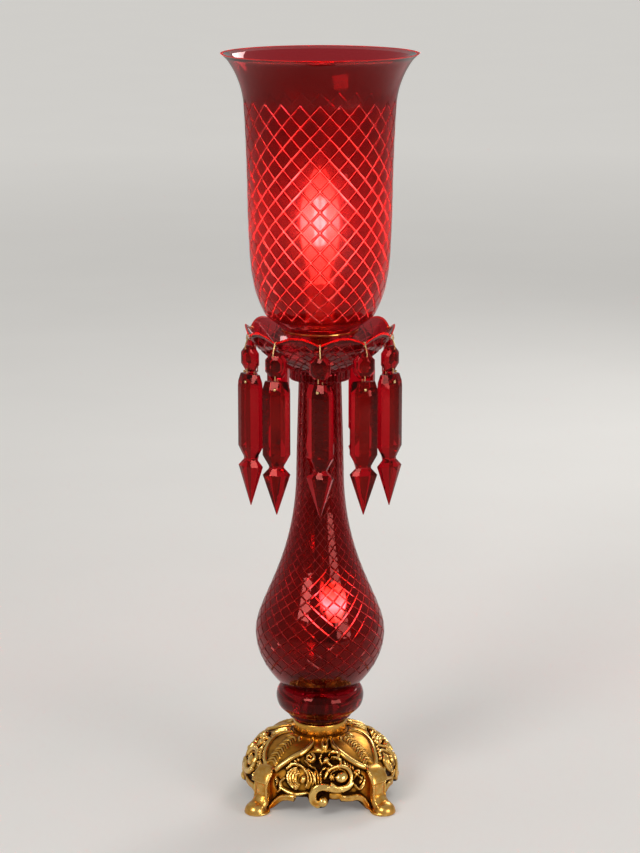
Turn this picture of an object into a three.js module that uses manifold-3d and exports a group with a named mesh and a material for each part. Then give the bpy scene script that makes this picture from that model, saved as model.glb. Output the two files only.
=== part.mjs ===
// A cut glass table lamp: a ruby glass shade over a ruby glass dish with ten hanging strings of
// drops, on a ruby glass stem and knop, all threaded on one tube that rises from a cast brass base
// with four feet. Millimetres, +Z up, origin on the table under the lamp's axis, front towards -Y.

import * as THREE from "three";
import { mergeVertices } from "three/addons/utils/BufferGeometryUtils.js";
import Module from "manifold-3d";

const wasm = await Module();
wasm.setup();

// Clearances between pieces
const seatGap = 0.3; // between faces that rest on each other
const slipGap = 0.4; // round a piece that passes through a hole

// Cast base
const baseHeight = 59.2; // table to the seat of the collar
const baseSeatRadius = 26;
const domeRadius = 70.5;
const domeBellyHeight = 22; // where the dome is widest
const domeFlatness = 0.52; // share of its width that the top stays nearly level
const domeSideShare = 0.6; // share of its height that the side stays nearly upright
const domeShoulderDrop = 1; // how far the nearly level part falls
const apronHeight = 14.5; // lower edge of the dome between the feet
const apronFoot = 1; // that edge where it comes down beside a foot
const bandHeight = 6; // the raised band along the edge
const bandProud = 2;
const castWall = 3.2;
const seatThickness = 5;
const legWidth = 13.6;
const legProud = 1; // how far the leg stands out of the dome
const toeRadius = 11.8;
const toeHeight = 9.5;
const toeReach = 80.6; // lamp's axis to the middle of a toe
const cuffWidth = 17;
const cuffHeight = 11;
const cuffBottom = 28;
const cuffProud = 3.5; // how far it stands out of the leg
const cuffSlope = 2; // how far its top leans in
const strapSeatWidth = 27; // beside the collar
const strapKneeWidth = 16; // at the cuff
const strapThickness = 1.2; // between its ridges
const ridgeHeight = 2.6; // along its two edges
const ridgeWidth = 4;
const strapSink = 2.2; // how deep its underside lies in the dome's wall
const strapStart = 0.03; // share of the way down the dome where it begins
const scrollRadius = 8;
const scrollThickness = 8;
const scrollProud = 2; // how far it stands out of the dome
const scrollTail = 30; // from the scroll's middle to the end of its tail
const cartoucheSpread = 18; // middle of the base's side to the middle of a cartouche
const cartoucheDrop = 46; // down the dome from its seat to the middle of a cartouche
const cartoucheWidth = 27;
const cartoucheHeight = 23;
const cartoucheSpan = 144; // degrees each way that its ring runs from its outer side
const ringRadius = 2.3; // half the thickness of that ring
const ovalWidth = 15;
const ovalHeight = 13;
const ovalBulge = 2.5;
const ovalLean = -28; // degrees that an oval leans back with the dome
const footCount = 4;

// Brass collar
const collarRadius = 24.5;
const collarHeight = 11.1;
const collarWall = 1.6;
const collarFloor = 2;

// Glass knop
const knopHeight = 43;
const knopRadius = 40.1;
const knopBellyDrop = 10; // top of the knop to its widest place
const knopLipRadius = 29;
const knopLipHeight = 5; // above the collar
const knopTopRadius = 33;
const knopBore = 12;

// Glass stem: a baluster with a long neck
const stemHeight = 293;
const stemFootRadius = 34;
const stemBellyRadius = 59;
const stemBellyHeight = 51; // above the stem's foot
const stemNeckHeight = 205; // above the stem's foot, where the neck begins
const stemNeckRadius = 21.4;
const stemTopRadius = 18.9;
const stemWall = 4.5;

// Drip dish with a scalloped rim
const dishLobes = 10;
const dishNotchRadius = 66;
const dishNotchHeight = 31; // above the top of the skirt
const dishLobeRadius = 67;
const dishLobeHeight = 37.5; // above the top of the skirt
const dishBow = 3; // how far the wall is bowed out from a straight funnel
const dishSkirtRadius = 27.5;
const dishSkirtHeight = 11;
const dishWellRadius = 20;
const dishFloor = 4;
const dishWall = 3.4;
const dishRimWall = 2.8;
const dishRecess = 6; // how far the stem reaches into the skirt

// Hanging strings: hook, bead, link and prism
const wireRadius = 0.5;
const rimHoleRadius = 1.5;
const rimHoleInset = 4.2; // edge of the notch to the middle of its hole
const glassHoleRadius = 1.1;
const wireClearance = 0.5; // wire to the glass face that it passes
const pinHeadRadius = 1.5;
const hookTail = 1.8;
const linkCurl = 4;
const beadWidth = 19.4;
const beadHeight = 23;
const beadThickness = 9;
const beadHoleInset = 2.9; // top or bottom of the bead to the middle of its hole
const beadDrop = 19.2; // loop's middle to the bead's middle
const prismLength = 120.5;
const prismWidth = 23.8;
const prismThickness = 13;
const prismHoleInset = 6.2;
const prismGap = 2.5; // bead to prism
const prismTopBevel = 10;
const prismSpear = 42.5; // length of the pointed end
const spearShoulder = 6; // from the neck to the widest place of the point
const prismNeck = 2;
const prismNeckScale = 0.55;
const prismWaist = 10; // the taper above the neck

// Shade
const shadeHeight = 243;
const shadeFootRadius = 35.3;
const shadeFootHeight = 3.2;
const shadeBowlHeight = 54; // above its foot, where the bowl meets the barrel
const shadeBowlRadius = 61;
const shadeBarrelHeight = 198; // above its foot, where the flare begins
const shadeBarrelRadius = 66.4;
const shadeFootSpread = 15; // how far the bowl's floor runs out nearly level
const shadeBowlRise = 28; // how far the wall keeps the bowl's slope
const shadeBarrelRise = 36; // how far the wall keeps the barrel's slope
const shadeRimRadius = 87;
const shadeWall = 3.6;

// Turned brass gallery under the shade
const galleryHubRadius = 15;
const galleryHubHeight = 3;
const galleryStemRadius = 8.5;
const galleryPlate = 2.5;
const galleryRise = 32.3; // dish's floor to the underside of the plate
const galleryInset = 0.8; // edge of the shade's foot to the edge of the plate
const galleryLip = 3.5;
const galleryLipWall = 1.4;

// Lamp tube and its hardware
const tubeRadius = 5;
const tubeBore = 3.9;
const tubeTail = 8.5; // how far the tube reaches below the base's washer
const washerRadius = 14;
const washerThickness = 2;
const nutAcrossFlats = 15;
const nutThickness = 4.5;
const bushingFlange = 1.8;
const bushingFlangeRadius = 6.2;
const bushingSleeve = 6;
const bushingWall = 1;

// Candle lampholder, sleeve and lamp
const dripDiscRadius = 17;
const dripDiscThickness = 1.5;
const holderRadius = 10.6;
const holderHeight = 32;
const holderFloor = 8; // up to the bottom of the lamp's socket
const sleeveWall = 1.5;
const sleeveHeight = 40;
const capRadius = 6.9;
const capHeight = 25;
const candleNeckRadius = 7;
const candleRadius = 17.5;
const candleHeight = 104;
const candleBellyHeight = 52;

// Small night light inside the stem
const nightLightHeight = 40; // stem's foot to the bracket
const nightLightGap = 3.4; // lamp tube to the night light's holder
const nightLightAzimuth = -40; // degrees from +X
const bracketThickness = 3;
const bracketEyeWall = 3;
const nightHolderRadius = 8.6;
const nightHolderHeight = 20;
const nightCapRadius = 5.9;
const nightCapInset = 16;
const nightBulbRadius = 10.5;
const nightBulbHeight = 36;

// How finely round shapes are divided
const glassSides = 28;
const turnedSides = 16;
const nutSides = 6;
const wireSides = 4;
const hookSteps = 20;
const linkSteps = 13;
const holeSides = 6;
const domeSides = 32;
const domeSteps = 5;
const toeSides = 8;
const scrollSteps = 5;
const ovalSides = 6;
const cartoucheSteps = 7;
const knopSteps = 3;
const bowlSteps = 5;
const barrelSteps = 3;
const bulbSteps = 6;
const stemFootSteps = 4;
const stemShoulderSteps = 7;
const stepsPerLobe = 4;
const dishWallRings = [0.08, 0.36, 0.68]; // shares of the way from the skirt to the rim

// Heights of the stack, each from the piece below
const collarBottom = baseHeight + seatGap;
const collarTop = collarBottom + collarHeight;
const knopBottom = collarBottom + collarFloor + seatGap;
const knopTop = knopBottom + knopHeight;
const stemBottom = knopTop + seatGap;
const stemTop = stemBottom + stemHeight;
const dishUnderside = stemTop + seatGap;
const dishFloorTop = dishUnderside + dishFloor;
const skirtBottom = stemTop - dishRecess;
const skirtTop = skirtBottom + dishSkirtHeight;
const galleryBottom = dishFloorTop + seatGap;
const plateBottom = galleryBottom + galleryRise;
const plateTop = plateBottom + galleryPlate;
const shadeBottom = plateTop + seatGap;
const shadeFootBore = shadeFootRadius - 2 * shadeWall;
const discBottom = plateTop + seatGap;
const discTop = discBottom + dripDiscThickness;
const checkNutBottom = discTop + seatGap;
const holderBottom = checkNutBottom + nutThickness + seatGap;
const socketBottom = holderBottom + holderFloor;
const tubeTop = socketBottom - 2 * seatGap;
const capBottom = socketBottom + seatGap;
const candleBottom = capBottom + capHeight + seatGap;
const washerTop = baseHeight - seatThickness - seatGap;
const baseNutTop = washerTop - washerThickness - seatGap;
const tubeBottom = washerTop - tubeTail;
const nightBracketBottom = stemBottom + nightLightHeight;
const nightHolderBottom = nightBracketBottom + bracketThickness + seatGap;
const nightLightReach = tubeRadius + nightLightGap + nightHolderRadius;

// Finishes
const ruby = { color: 0x8e0a18, roughness: 0.05, metalness: 0 };
const castBrass = { color: 0xb98a3a, roughness: 0.35, metalness: 1 };
const polishedBrass = { color: 0xc9a04e, roughness: 0.18, metalness: 1 };
const wireBrass = { color: 0xd4b46a, roughness: 0.25, metalness: 1 };
const steel = { color: 0x9a9a98, roughness: 0.4, metalness: 1 };
const cream = { color: 0xe9dfc4, roughness: 0.5, metalness: 0 };
const frostedGlass = { color: 0xfff1d6, roughness: 0.4, metalness: 0 };
const blackPlastic = { color: 0x1c1c1e, roughness: 0.5, metalness: 0 };

const at = (x, y) => new THREE.Vector2(x, y);
const radians = THREE.MathUtils.degToRad;

// Points of a cubic curve from one point to another, with its two handles
function curve(from, leave, arrive, to, steps) {
  return new THREE.CubicBezierCurve(from, leave, arrive, to).getPoints(steps);
}

// The solid that a closed geometry bounds
function solidOf(geometry) {
  const bare = geometry.clone();
  bare.deleteAttribute("normal");
  bare.deleteAttribute("uv");
  const merged = mergeVertices(bare, 1e-4);
  return new wasm.Manifold(
    new wasm.Mesh({
      numProp: 3,
      vertProperties: merged.attributes.position.array,
      triVerts: new Uint32Array(merged.index.array),
    }),
  );
}

// A named mesh of a solid in its finish
function piece(name, solid, finish) {
  const { vertProperties, triVerts } = solid.getMesh();
  const geometry = new THREE.BufferGeometry();
  geometry.setAttribute("position", new THREE.BufferAttribute(vertProperties, 3));
  geometry.setIndex(new THREE.BufferAttribute(triVerts, 1));
  geometry.computeVertexNormals();
  const mesh = new THREE.Mesh(geometry, new THREE.MeshStandardMaterial(finish));
  mesh.name = name;
  return mesh;
}

// A turned piece with a bore: its outline in radius and height, anticlockwise
function turned(outline, sides) {
  return turnedSolid([...outline, outline[0]], sides);
}

// A turned piece whose outline starts and ends on the axis
function turnedSolid(outline, sides) {
  return solidOf(new THREE.LatheGeometry(outline, sides).rotateX(Math.PI / 2));
}

// A plain turned ring or, with no bore, a disc
function ring(outer, bore, bottom, top, sides) {
  const outline = [at(bore, bottom), at(outer, bottom), at(outer, top), at(bore, top)];
  return bore > 0 ? turned(outline, sides) : turnedSolid(outline, sides);
}

// The inner outline of a wall, from the top down, with its ends level with the outer ones
function innerWall(outline, wall) {
  const last = outline.length - 1;
  const inner = outline.map((point, i) => {
    const before = outline[Math.max(i - 1, 0)];
    const after = outline[Math.min(i + 1, last)];
    const along = after.clone().sub(before).normalize();
    return at(point.x - along.y * wall, point.y + along.x * wall);
  });
  inner[0].y = outline[0].y;
  inner[last].y = outline[last].y;
  return inner.reverse();
}

// A solid through rings of points with the same count, closed by a fan at each end
function lofted(rings) {
  const count = rings[0].length;
  const positions = rings.flat().flatMap((point) => point.toArray());
  const faces = [];
  for (let r = 0; r + 1 < rings.length; r++) {
    for (let i = 0; i < count; i++) {
      const a = r * count + i;
      const b = r * count + ((i + 1) % count);
      faces.push(a, b, b + count, a, b + count, a + count);
    }
  }
  const top = (rings.length - 1) * count;
  for (let i = 1; i + 1 < count; i++) {
    faces.push(0, i + 1, i, top, top + i, top + i + 1);
  }
  return solidFrom(positions, faces);
}

// A solid that goes once round the axis, given its closed section at each angle
function wrapped(sides, sectionAt) {
  const positions = [];
  let count = 0;
  for (let side = 0; side < sides; side++) {
    const angle = (2 * Math.PI * side) / sides;
    const section = sectionAt(angle);
    count = section.length;
    for (const point of section) {
      positions.push(point.x * Math.cos(angle), point.x * Math.sin(angle), point.y);
    }
  }
  const faces = [];
  for (let side = 0; side < sides; side++) {
    const here = side * count;
    const next = ((side + 1) % sides) * count;
    for (let i = 0; i < count; i++) {
      const j = (i + 1) % count;
      faces.push(here + i, next + i, next + j, here + i, next + j, here + j);
    }
  }
  return solidFrom(positions, faces);
}

function solidFrom(positions, faces) {
  const geometry = new THREE.BufferGeometry();
  geometry.setAttribute("position", new THREE.Float32BufferAttribute(positions, 3));
  geometry.setIndex(faces);
  return solidOf(geometry);
}

// A flat outline in radius and height, given a thickness across and turned to an azimuth
function plate(outline, thickness, azimuth) {
  const shape = new THREE.Shape(outline);
  const geometry = new THREE.ExtrudeGeometry(shape, { depth: thickness, bevelEnabled: false });
  geometry.translate(0, 0, -thickness / 2);
  geometry.rotateX(Math.PI / 2);
  geometry.rotateZ(azimuth);
  return solidOf(geometry);
}

// A round bar along points in space
function bar(points, radius, steps) {
  const path = new THREE.CatmullRomCurve3(points);
  const section = new THREE.Shape();
  for (let i = 0; i < wireSides; i++) {
    const angle = (2 * Math.PI * i) / wireSides;
    const move = i ? "lineTo" : "moveTo";
    section[move](radius * Math.cos(angle), radius * Math.sin(angle));
  }
  return solidOf(new THREE.ExtrudeGeometry(section, { steps, extrudePath: path }));
}

// A round wire along points in the plane of radius and height
function wire(points, radius, steps) {
  const spread = points.map((p) => new THREE.Vector3(p.x, 0, p.y));
  return bar(spread, radius, steps);
}

// A bar along the radius, to cut a hole or fill it
function crossBar(radius, length, x, z) {
  const geometry = new THREE.CylinderGeometry(radius, radius, length, holeSides);
  geometry.rotateZ(Math.PI / 2);
  geometry.translate(x, 0, z);
  return solidOf(geometry);
}

function hexNut(bottom) {
  const top = bottom + nutThickness;
  const blank = ring(nutAcrossFlats / Math.sqrt(3), 0, bottom, top, nutSides);
  return blank.subtract(ring(tubeRadius + slipGap, 0, bottom - 1, top + 1, turnedSides));
}

// Casting

// The dome's outside from its seat down to its widest place
const domeCurve = new THREE.CubicBezierCurve(
  at(baseSeatRadius, baseHeight),
  at(
    baseSeatRadius + domeFlatness * (domeRadius - baseSeatRadius),
    baseHeight - domeShoulderDrop,
  ),
  at(domeRadius, domeBellyHeight + domeSideShare * (baseHeight - domeBellyHeight)),
  at(domeRadius, domeBellyHeight),
);

// A point of the dome's outside, from its distance round from the middle of the +X side and its
// distance down from the seat
function onDome(across, down) {
  const point = domeCurve.getPointAt(Math.min(down / domeCurve.getLength(), 1));
  const turn = across / point.x;
  return new THREE.Vector3(point.x * Math.cos(turn), point.x * Math.sin(turn), point.y);
}

// How near an angle is to a corner of the base, from 0 in the middle of a side to 1 at a foot
function cornerShare(angle) {
  return (1 - Math.cos(footCount * angle)) / 2;
}

// The dome's lower edge at an angle, and how far its band stands out there
function apronAt(angle) {
  const corner = cornerShare(angle);
  const dip = THREE.MathUtils.smoothstep(corner, 0.7, 0.95);
  return {
    edge: apronHeight + (apronFoot - apronHeight) * dip,
    proud: corner > 0.3 ? bandProud : 0,
  };
}

function castDome() {
  const outer = domeCurve.getPoints(domeSteps);
  const down = [...outer].reverse();
  const inner = innerWall(down, castWall).reverse().slice(1, -1);
  return wrapped(domeSides, (angle) => {
    const { edge, proud } = apronAt(angle);
    const bore = tubeRadius + slipGap;
    const ceiling = baseHeight - seatThickness;
    return [
      at(bore, baseHeight),
      at(bore, ceiling),
      at(baseSeatRadius, ceiling),
      ...inner.map((p) => at(p.x, Math.min(p.y, ceiling))),
      at(domeRadius - castWall, domeBellyHeight),
      at(domeRadius - castWall, edge),
      at(domeRadius + proud, edge),
      at(domeRadius + proud, edge + bandHeight),
      ...down,
    ];
  });
}

// One foot: the leg below the cuff, its rounded toe, the cuff and the strap up to the seat
function castFoot(azimuth) {
  const cuffTop = cuffBottom + cuffHeight;
  const cuffMiddle = cuffBottom + cuffHeight / 2;
  const front = domeRadius + legProud;
  const back = domeRadius - 3 * castWall;
  const leg = plate(
    [
      at(toeReach - toeRadius, 0),
      at(toeReach, 0),
      at(toeReach + toeRadius / 2, toeHeight / 2),
      at(toeReach - toeRadius / 3, toeHeight),
      at(front, 0.6 * cuffBottom),
      at(front, cuffMiddle),
      at(back, cuffMiddle),
      at(back, toeHeight),
    ],
    legWidth,
    azimuth,
  );
  const toe = turnedSolid(
    [
      at(0, 0),
      at(toeRadius * 0.9, 0),
      at(toeRadius, toeHeight * 0.25),
      at(toeRadius * 0.85, toeHeight * 0.7),
      at(toeRadius * 0.4, toeHeight),
      at(0, toeHeight * 1.05),
    ],
    toeSides,
  ).translate([toeReach * Math.cos(azimuth), toeReach * Math.sin(azimuth), 0]);
  const cuff = plate(
    [
      at(front + 0.7 * cuffProud, cuffBottom),
      at(front + cuffProud, cuffMiddle),
      at(front - cuffSlope, cuffTop),
      at(back - 2 * castWall, cuffTop),
      at(back, cuffBottom),
    ],
    cuffWidth,
    azimuth,
  );
  return leg.add(toe).add(cuff).add(castStrap(azimuth));
}

// The strap from the seat down to the cuff: a band that narrows, with a ridge along each edge
function castStrap(azimuth) {
  const outline = domeCurve.getPoints(domeSteps).filter((p) => p.y > cuffBottom);
  outline[0] = domeCurve.getPoint(strapStart);
  const last = outline.length - 1;
  const rings = outline.map((point, i) => {
    const before = outline[Math.max(i - 1, 0)];
    const after = outline[Math.min(i + 1, last)];
    const along = after.clone().sub(before).normalize();
    const half = THREE.MathUtils.lerp(strapSeatWidth, strapKneeWidth, i / last) / 2;
    const section = [
      at(0, -strapSink),
      at(half, -strapSink),
      at(half, ridgeHeight),
      at(half - ridgeWidth, strapThickness),
      at(ridgeWidth - half, strapThickness),
      at(-half, ridgeHeight),
      at(-half, -strapSink),
    ];
    return section.map(
      ({ x: across, y: up }) =>
        new THREE.Vector3(point.x - along.y * up, across, point.y + along.x * up),
    );
  });
  return lofted(rings).rotate([0, 0, THREE.MathUtils.radToDeg(azimuth)]);
}

// A flat outline on one side of the base, y across and z up, between two distances from the axis
function sidePlate(shape, near, far) {
  const geometry = new THREE.ExtrudeGeometry(shape, {
    depth: far - near,
    bevelEnabled: false,
    curveSegments: scrollSteps,
  });
  geometry.rotateX(Math.PI / 2);
  geometry.rotateZ(Math.PI / 2);
  return solidOf(geometry.translate(near, 0, 0));
}

// The scroll that hangs in the middle of a side, with a tail that follows the dome's round
function castScroll() {
  const centre = apronHeight + 0.75 * scrollRadius;
  const front = domeRadius + scrollProud;
  const disc = new THREE.Shape();
  disc.absarc(0, centre, scrollRadius, 0, 2 * Math.PI, false);
  const tail = new THREE.Shape();
  tail.moveTo(0, centre - scrollRadius / 2);
  tail.quadraticCurveTo(0.7 * scrollTail, centre, scrollTail, centre + scrollRadius);
  tail.quadraticCurveTo(0.5 * scrollTail, centre + 0.7 * scrollRadius, 0, centre + scrollRadius / 2);
  const round = ring(domeRadius + scrollProud / 2, domeRadius - castWall, 0, baseHeight, domeSides);
  const band = sidePlate(tail, domeRadius / 2, front).intersect(round);
  return sidePlate(disc, front - scrollThickness, front).add(band);
}

// A cartouche to one side of the middle: an oval boss in a ring that is open towards the middle
function castCartouche(side) {
  const ring = [];
  for (let i = 0; i <= cartoucheSteps; i++) {
    const turn = radians(cartoucheSpan * ((2 * i) / cartoucheSteps - 1));
    const across = cartoucheSpread + (cartoucheWidth / 2) * Math.cos(turn);
    const down = cartoucheDrop + (cartoucheHeight / 2) * Math.sin(turn);
    ring.push(onDome(side * across, down));
  }
  const middle = onDome(0, cartoucheDrop);
  const oval = new THREE.SphereGeometry(1, ovalSides, ovalSides / 2);
  oval.scale(ovalBulge, ovalWidth / 2, ovalHeight / 2);
  oval.rotateY(radians(ovalLean));
  oval.translate(middle.x, 0, middle.z);
  oval.rotateZ((side * cartoucheSpread) / middle.x);
  return bar(ring, ringRadius, cartoucheSteps).add(solidOf(oval));
}

// One side's ornament: the hanging scroll, and two cartouches above it
function castOrnament(azimuth) {
  const ornament = castScroll().add(castCartouche(-1)).add(castCartouche(1));
  return ornament.rotate([0, 0, THREE.MathUtils.radToDeg(azimuth)]);
}

function castBase() {
  let base = castDome();
  for (let i = 0; i < footCount; i++) {
    const side = (2 * Math.PI * i) / footCount;
    base = base.add(castFoot(side + Math.PI / footCount)).add(castOrnament(side));
  }
  return piece("cast_base", base, castBrass);
}

// Glass and brass on the tube

function brassCollar() {
  const inner = collarRadius - collarWall;
  const solid = turned(
    [
      at(tubeRadius + slipGap, collarBottom),
      at(collarRadius, collarBottom),
      at(collarRadius, collarTop),
      at(inner, collarTop),
      at(inner, collarBottom + collarFloor),
      at(tubeRadius + slipGap, collarBottom + collarFloor),
    ],
    glassSides,
  );
  return piece("brass_collar", solid, polishedBrass);
}

function glassKnop() {
  const footRadius = collarRadius - collarWall - slipGap;
  const belly = knopTop - knopBellyDrop;
  const lip = collarTop + knopLipHeight;
  const neck = at(knopLipRadius + 1, lip + 2);
  const widest = at(knopRadius, belly);
  const top = at(knopTopRadius, knopTop);
  const outer = [
    at(footRadius, knopBottom),
    at(footRadius, collarTop + seatGap),
    at(knopLipRadius, lip),
    at(knopLipRadius, lip + 1.5),
    ...curve(neck, at(knopRadius, lip + 4), at(knopRadius, belly - 4), widest, knopSteps),
    ...curve(widest, at(knopRadius, belly + 5), at(knopTopRadius + 4, knopTop), top, knopSteps).slice(1),
  ];
  const bore = [at(knopBore, knopTop), at(knopBore, knopBottom)];
  return piece("glass_knop", turned([...outer, ...bore], glassSides), ruby);
}

function glassStem() {
  const belly = stemBottom + stemBellyHeight;
  const neck = stemBottom + stemNeckHeight;
  const shoulder = neck - belly;
  const foot = at(stemFootRadius, stemBottom);
  const widest = at(stemBellyRadius, belly);
  const footHandle = at(stemFootRadius + 12, stemBottom + 0.2 * stemBellyHeight);
  const bellyHandle = at(stemBellyRadius, belly - 0.43 * stemBellyHeight);
  const lower = curve(foot, footHandle, bellyHandle, widest, stemFootSteps);
  const upper = curve(
    widest,
    at(stemBellyRadius, belly + 0.2 * shoulder),
    at(stemNeckRadius, neck - 0.58 * shoulder),
    at(stemNeckRadius, neck),
    stemShoulderSteps,
  );
  const outer = [...lower, ...upper.slice(1), at(stemTopRadius, stemTop)];
  const inner = innerWall(outer, stemWall);
  return piece("glass_stem", turned([...outer, ...inner], glassSides), ruby);
}

// The dish's wall at a share of the way from its skirt to its rim, for a share of the lobe
function dishWallAt(lobe, share) {
  const swell = Math.sin(Math.PI * lobe);
  const radius = dishNotchRadius + (dishLobeRadius - dishNotchRadius) * swell;
  const height = dishNotchHeight + (dishLobeHeight - dishNotchHeight) * swell;
  const root = at(dishSkirtRadius, skirtTop);
  const rim = at(radius, skirtTop + height);
  const chord = rim.clone().sub(root).normalize();
  const handle = root.clone().lerp(rim, 0.5).add(at(chord.y, -chord.x).multiplyScalar(2 * dishBow));
  const wall = new THREE.QuadraticBezierCurve(root, handle, rim);
  const along = wall.getTangent(share);
  return {
    middle: wall.getPoint(share),
    along,
    up: at(-along.y, along.x),
    half: (dishWall + (dishRimWall - dishWall) * share) / 2,
  };
}

// The middle of the narrow web between a notch's edge and its hole, which a hook's loop goes round
const rimWeb = (rimHoleInset - rimHoleRadius) / 2;
const loopRadius = rimHoleInset - rimWeb;
const notchWall = dishWallAt(0, 1);
const loopCentre = notchWall.middle.clone().addScaledVector(notchWall.along, -rimWeb);

function dripDish() {
  const neckHole = stemTopRadius + 2 * slipGap;
  const bore = tubeRadius + slipGap;
  let dish = wrapped(dishLobes * stepsPerLobe, (angle) => {
    const lobe = ((angle + Math.PI / 2) * dishLobes) / (2 * Math.PI);
    const wallAt = (share) => dishWallAt(lobe % 1, share);
    const side = (share, sign) => {
      const { middle, up, half } = wallAt(share);
      return middle.addScaledVector(up, sign * half);
    };
    const edge = (sign) => side(1, sign).addScaledVector(wallAt(1).along, -dishRimWall / 2);
    const floorEdge = at(dishWellRadius, dishFloorTop);
    return [
      at(bore, dishUnderside),
      at(neckHole, dishUnderside),
      at(neckHole, skirtBottom),
      at(dishSkirtRadius, skirtBottom),
      ...dishWallRings.map((share) => side(share, -1)),
      edge(-1),
      wallAt(1).middle,
      edge(1),
      ...[...dishWallRings].reverse().map((share) => side(share, 1)),
      floorEdge,
      at(bore, dishFloorTop),
    ];
  });
  for (let i = 0; i < dishLobes; i++) {
    dish = dish.subtract(rimHole(stringAzimuth(i)));
  }
  return piece("drip_dish", dish, ruby);
}

// The cutter of a string's hole, square to the dish's wall at the notch
function rimHole(azimuth) {
  const centre = notchWall.middle.clone().addScaledVector(notchWall.along, -rimHoleInset);
  const geometry = new THREE.CylinderGeometry(rimHoleRadius, rimHoleRadius, 3 * dishWall, holeSides);
  geometry.rotateX(Math.PI / 2);
  geometry.rotateY(-Math.atan2(notchWall.along.y, notchWall.along.x));
  geometry.translate(centre.x, 0, centre.y);
  return solidOf(geometry.rotateZ(azimuth));
}

function glassShade() {
  const bowl = shadeBottom + shadeBowlHeight;
  const barrel = shadeBottom + shadeBarrelHeight;
  const rim = shadeBottom + shadeHeight;
  const foot = shadeBottom + shadeFootHeight;
  const flare = rim - barrel;
  const outer = [
    at(shadeFootRadius, shadeBottom),
    at(shadeFootRadius, foot),
    ...curve(
      at(shadeFootRadius + 1, foot + 0.5),
      at(shadeFootRadius + shadeFootSpread, foot + 3),
      at(shadeBowlRadius - 2.5, bowl - 0.45 * shadeBowlHeight),
      at(shadeBowlRadius, bowl),
      bowlSteps,
    ),
    ...curve(
      at(shadeBowlRadius, bowl),
      at(shadeBowlRadius + 2.5, bowl + shadeBowlRise),
      at(shadeBarrelRadius - 0.8, barrel - shadeBarrelRise),
      at(shadeBarrelRadius, barrel),
      barrelSteps,
    ).slice(1),
    ...curve(
      at(shadeBarrelRadius, barrel),
      at(shadeBarrelRadius + 0.4, barrel + 0.36 * flare),
      at(shadeBarrelRadius + 10.6, barrel + 0.79 * flare),
      at(shadeRimRadius, rim),
      bowlSteps,
    ).slice(1),
  ];
  const inner = innerWall(outer.slice(2), shadeWall);
  inner[inner.length - 1] = at(shadeFootBore, foot + shadeWall);
  const solid = turned([...outer, ...inner, at(shadeFootBore, shadeBottom)], glassSides);
  return piece("glass_shade", solid, ruby);
}

function shadeGallery() {
  const bore = tubeRadius + slipGap;
  const lipOuter = shadeFootBore - 2 * slipGap;
  const plateRadius = shadeFootRadius - galleryInset;
  const solid = turned(
    [
      at(bore, galleryBottom),
      at(galleryHubRadius, galleryBottom),
      at(galleryHubRadius, galleryBottom + galleryHubHeight),
      at(galleryStemRadius, galleryBottom + 2 * galleryHubHeight),
      at(galleryStemRadius, plateBottom - 2 * galleryHubHeight),
      at(galleryHubRadius, plateBottom),
      at(plateRadius, plateBottom),
      at(plateRadius, plateTop),
      at(lipOuter, plateTop),
      at(lipOuter, plateTop + galleryLip),
      at(lipOuter - galleryLipWall, plateTop + galleryLip),
      at(lipOuter - galleryLipWall, plateTop),
      at(bore, plateTop),
    ],
    turnedSides,
  );
  return piece("shade_gallery", solid, polishedBrass);
}

// Tube and hardware

function lampTube() {
  const solid = ring(tubeRadius, tubeBore, tubeBottom, tubeTop, turnedSides);
  return piece("lamp_tube", solid, steel);
}

function baseWasher() {
  const bottom = washerTop - washerThickness;
  const solid = ring(washerRadius, tubeRadius + slipGap, bottom, washerTop, turnedSides);
  return piece("base_washer", solid, steel);
}

function cordBushing() {
  const flangeTop = tubeBottom - seatGap;
  const flangeBottom = flangeTop - bushingFlange;
  const sleeve = tubeBore - slipGap;
  const solid = turned(
    [
      at(sleeve - bushingWall, flangeBottom),
      at(bushingFlangeRadius, flangeBottom),
      at(bushingFlangeRadius, flangeTop),
      at(sleeve, flangeTop),
      at(sleeve, flangeTop + bushingSleeve),
      at(sleeve - bushingWall, flangeTop + bushingSleeve),
    ],
    turnedSides,
  );
  return piece("cord_bushing", solid, blackPlastic);
}

function dripDisc() {
  const rise = 2 * dripDiscThickness;
  const solid = turned(
    [
      at(tubeRadius + slipGap, discBottom),
      at(dripDiscRadius - 2, discBottom),
      at(dripDiscRadius, discBottom + rise),
      at(dripDiscRadius - 1, discTop + rise),
      at(dripDiscRadius - 2.5, discTop),
      at(tubeRadius + slipGap, discTop),
    ],
    turnedSides,
  );
  return piece("drip_disc", solid, polishedBrass);
}

function lampholder() {
  const top = holderBottom + holderHeight;
  const socket = capRadius + slipGap;
  const solid = turned(
    [
      at(tubeRadius + slipGap, holderBottom),
      at(holderRadius, holderBottom),
      at(holderRadius, top),
      at(socket, top),
      at(socket, socketBottom),
      at(tubeRadius + slipGap, socketBottom),
    ],
    turnedSides,
  );
  return piece("lampholder", solid, blackPlastic);
}

function candleSleeve() {
  const inner = holderRadius + slipGap;
  const bottom = discTop + seatGap;
  const solid = ring(inner + sleeveWall, inner, bottom, bottom + sleeveHeight, turnedSides);
  return piece("candle_sleeve", solid, cream);
}

function bulbCap() {
  const solid = turnedSolid(
    [
      at(0, capBottom),
      at(capRadius * 0.5, capBottom),
      at(capRadius, capBottom + 3),
      at(capRadius, capBottom + capHeight),
      at(0, capBottom + capHeight),
    ],
    turnedSides,
  );
  return piece("bulb_cap", solid, polishedBrass);
}

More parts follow.
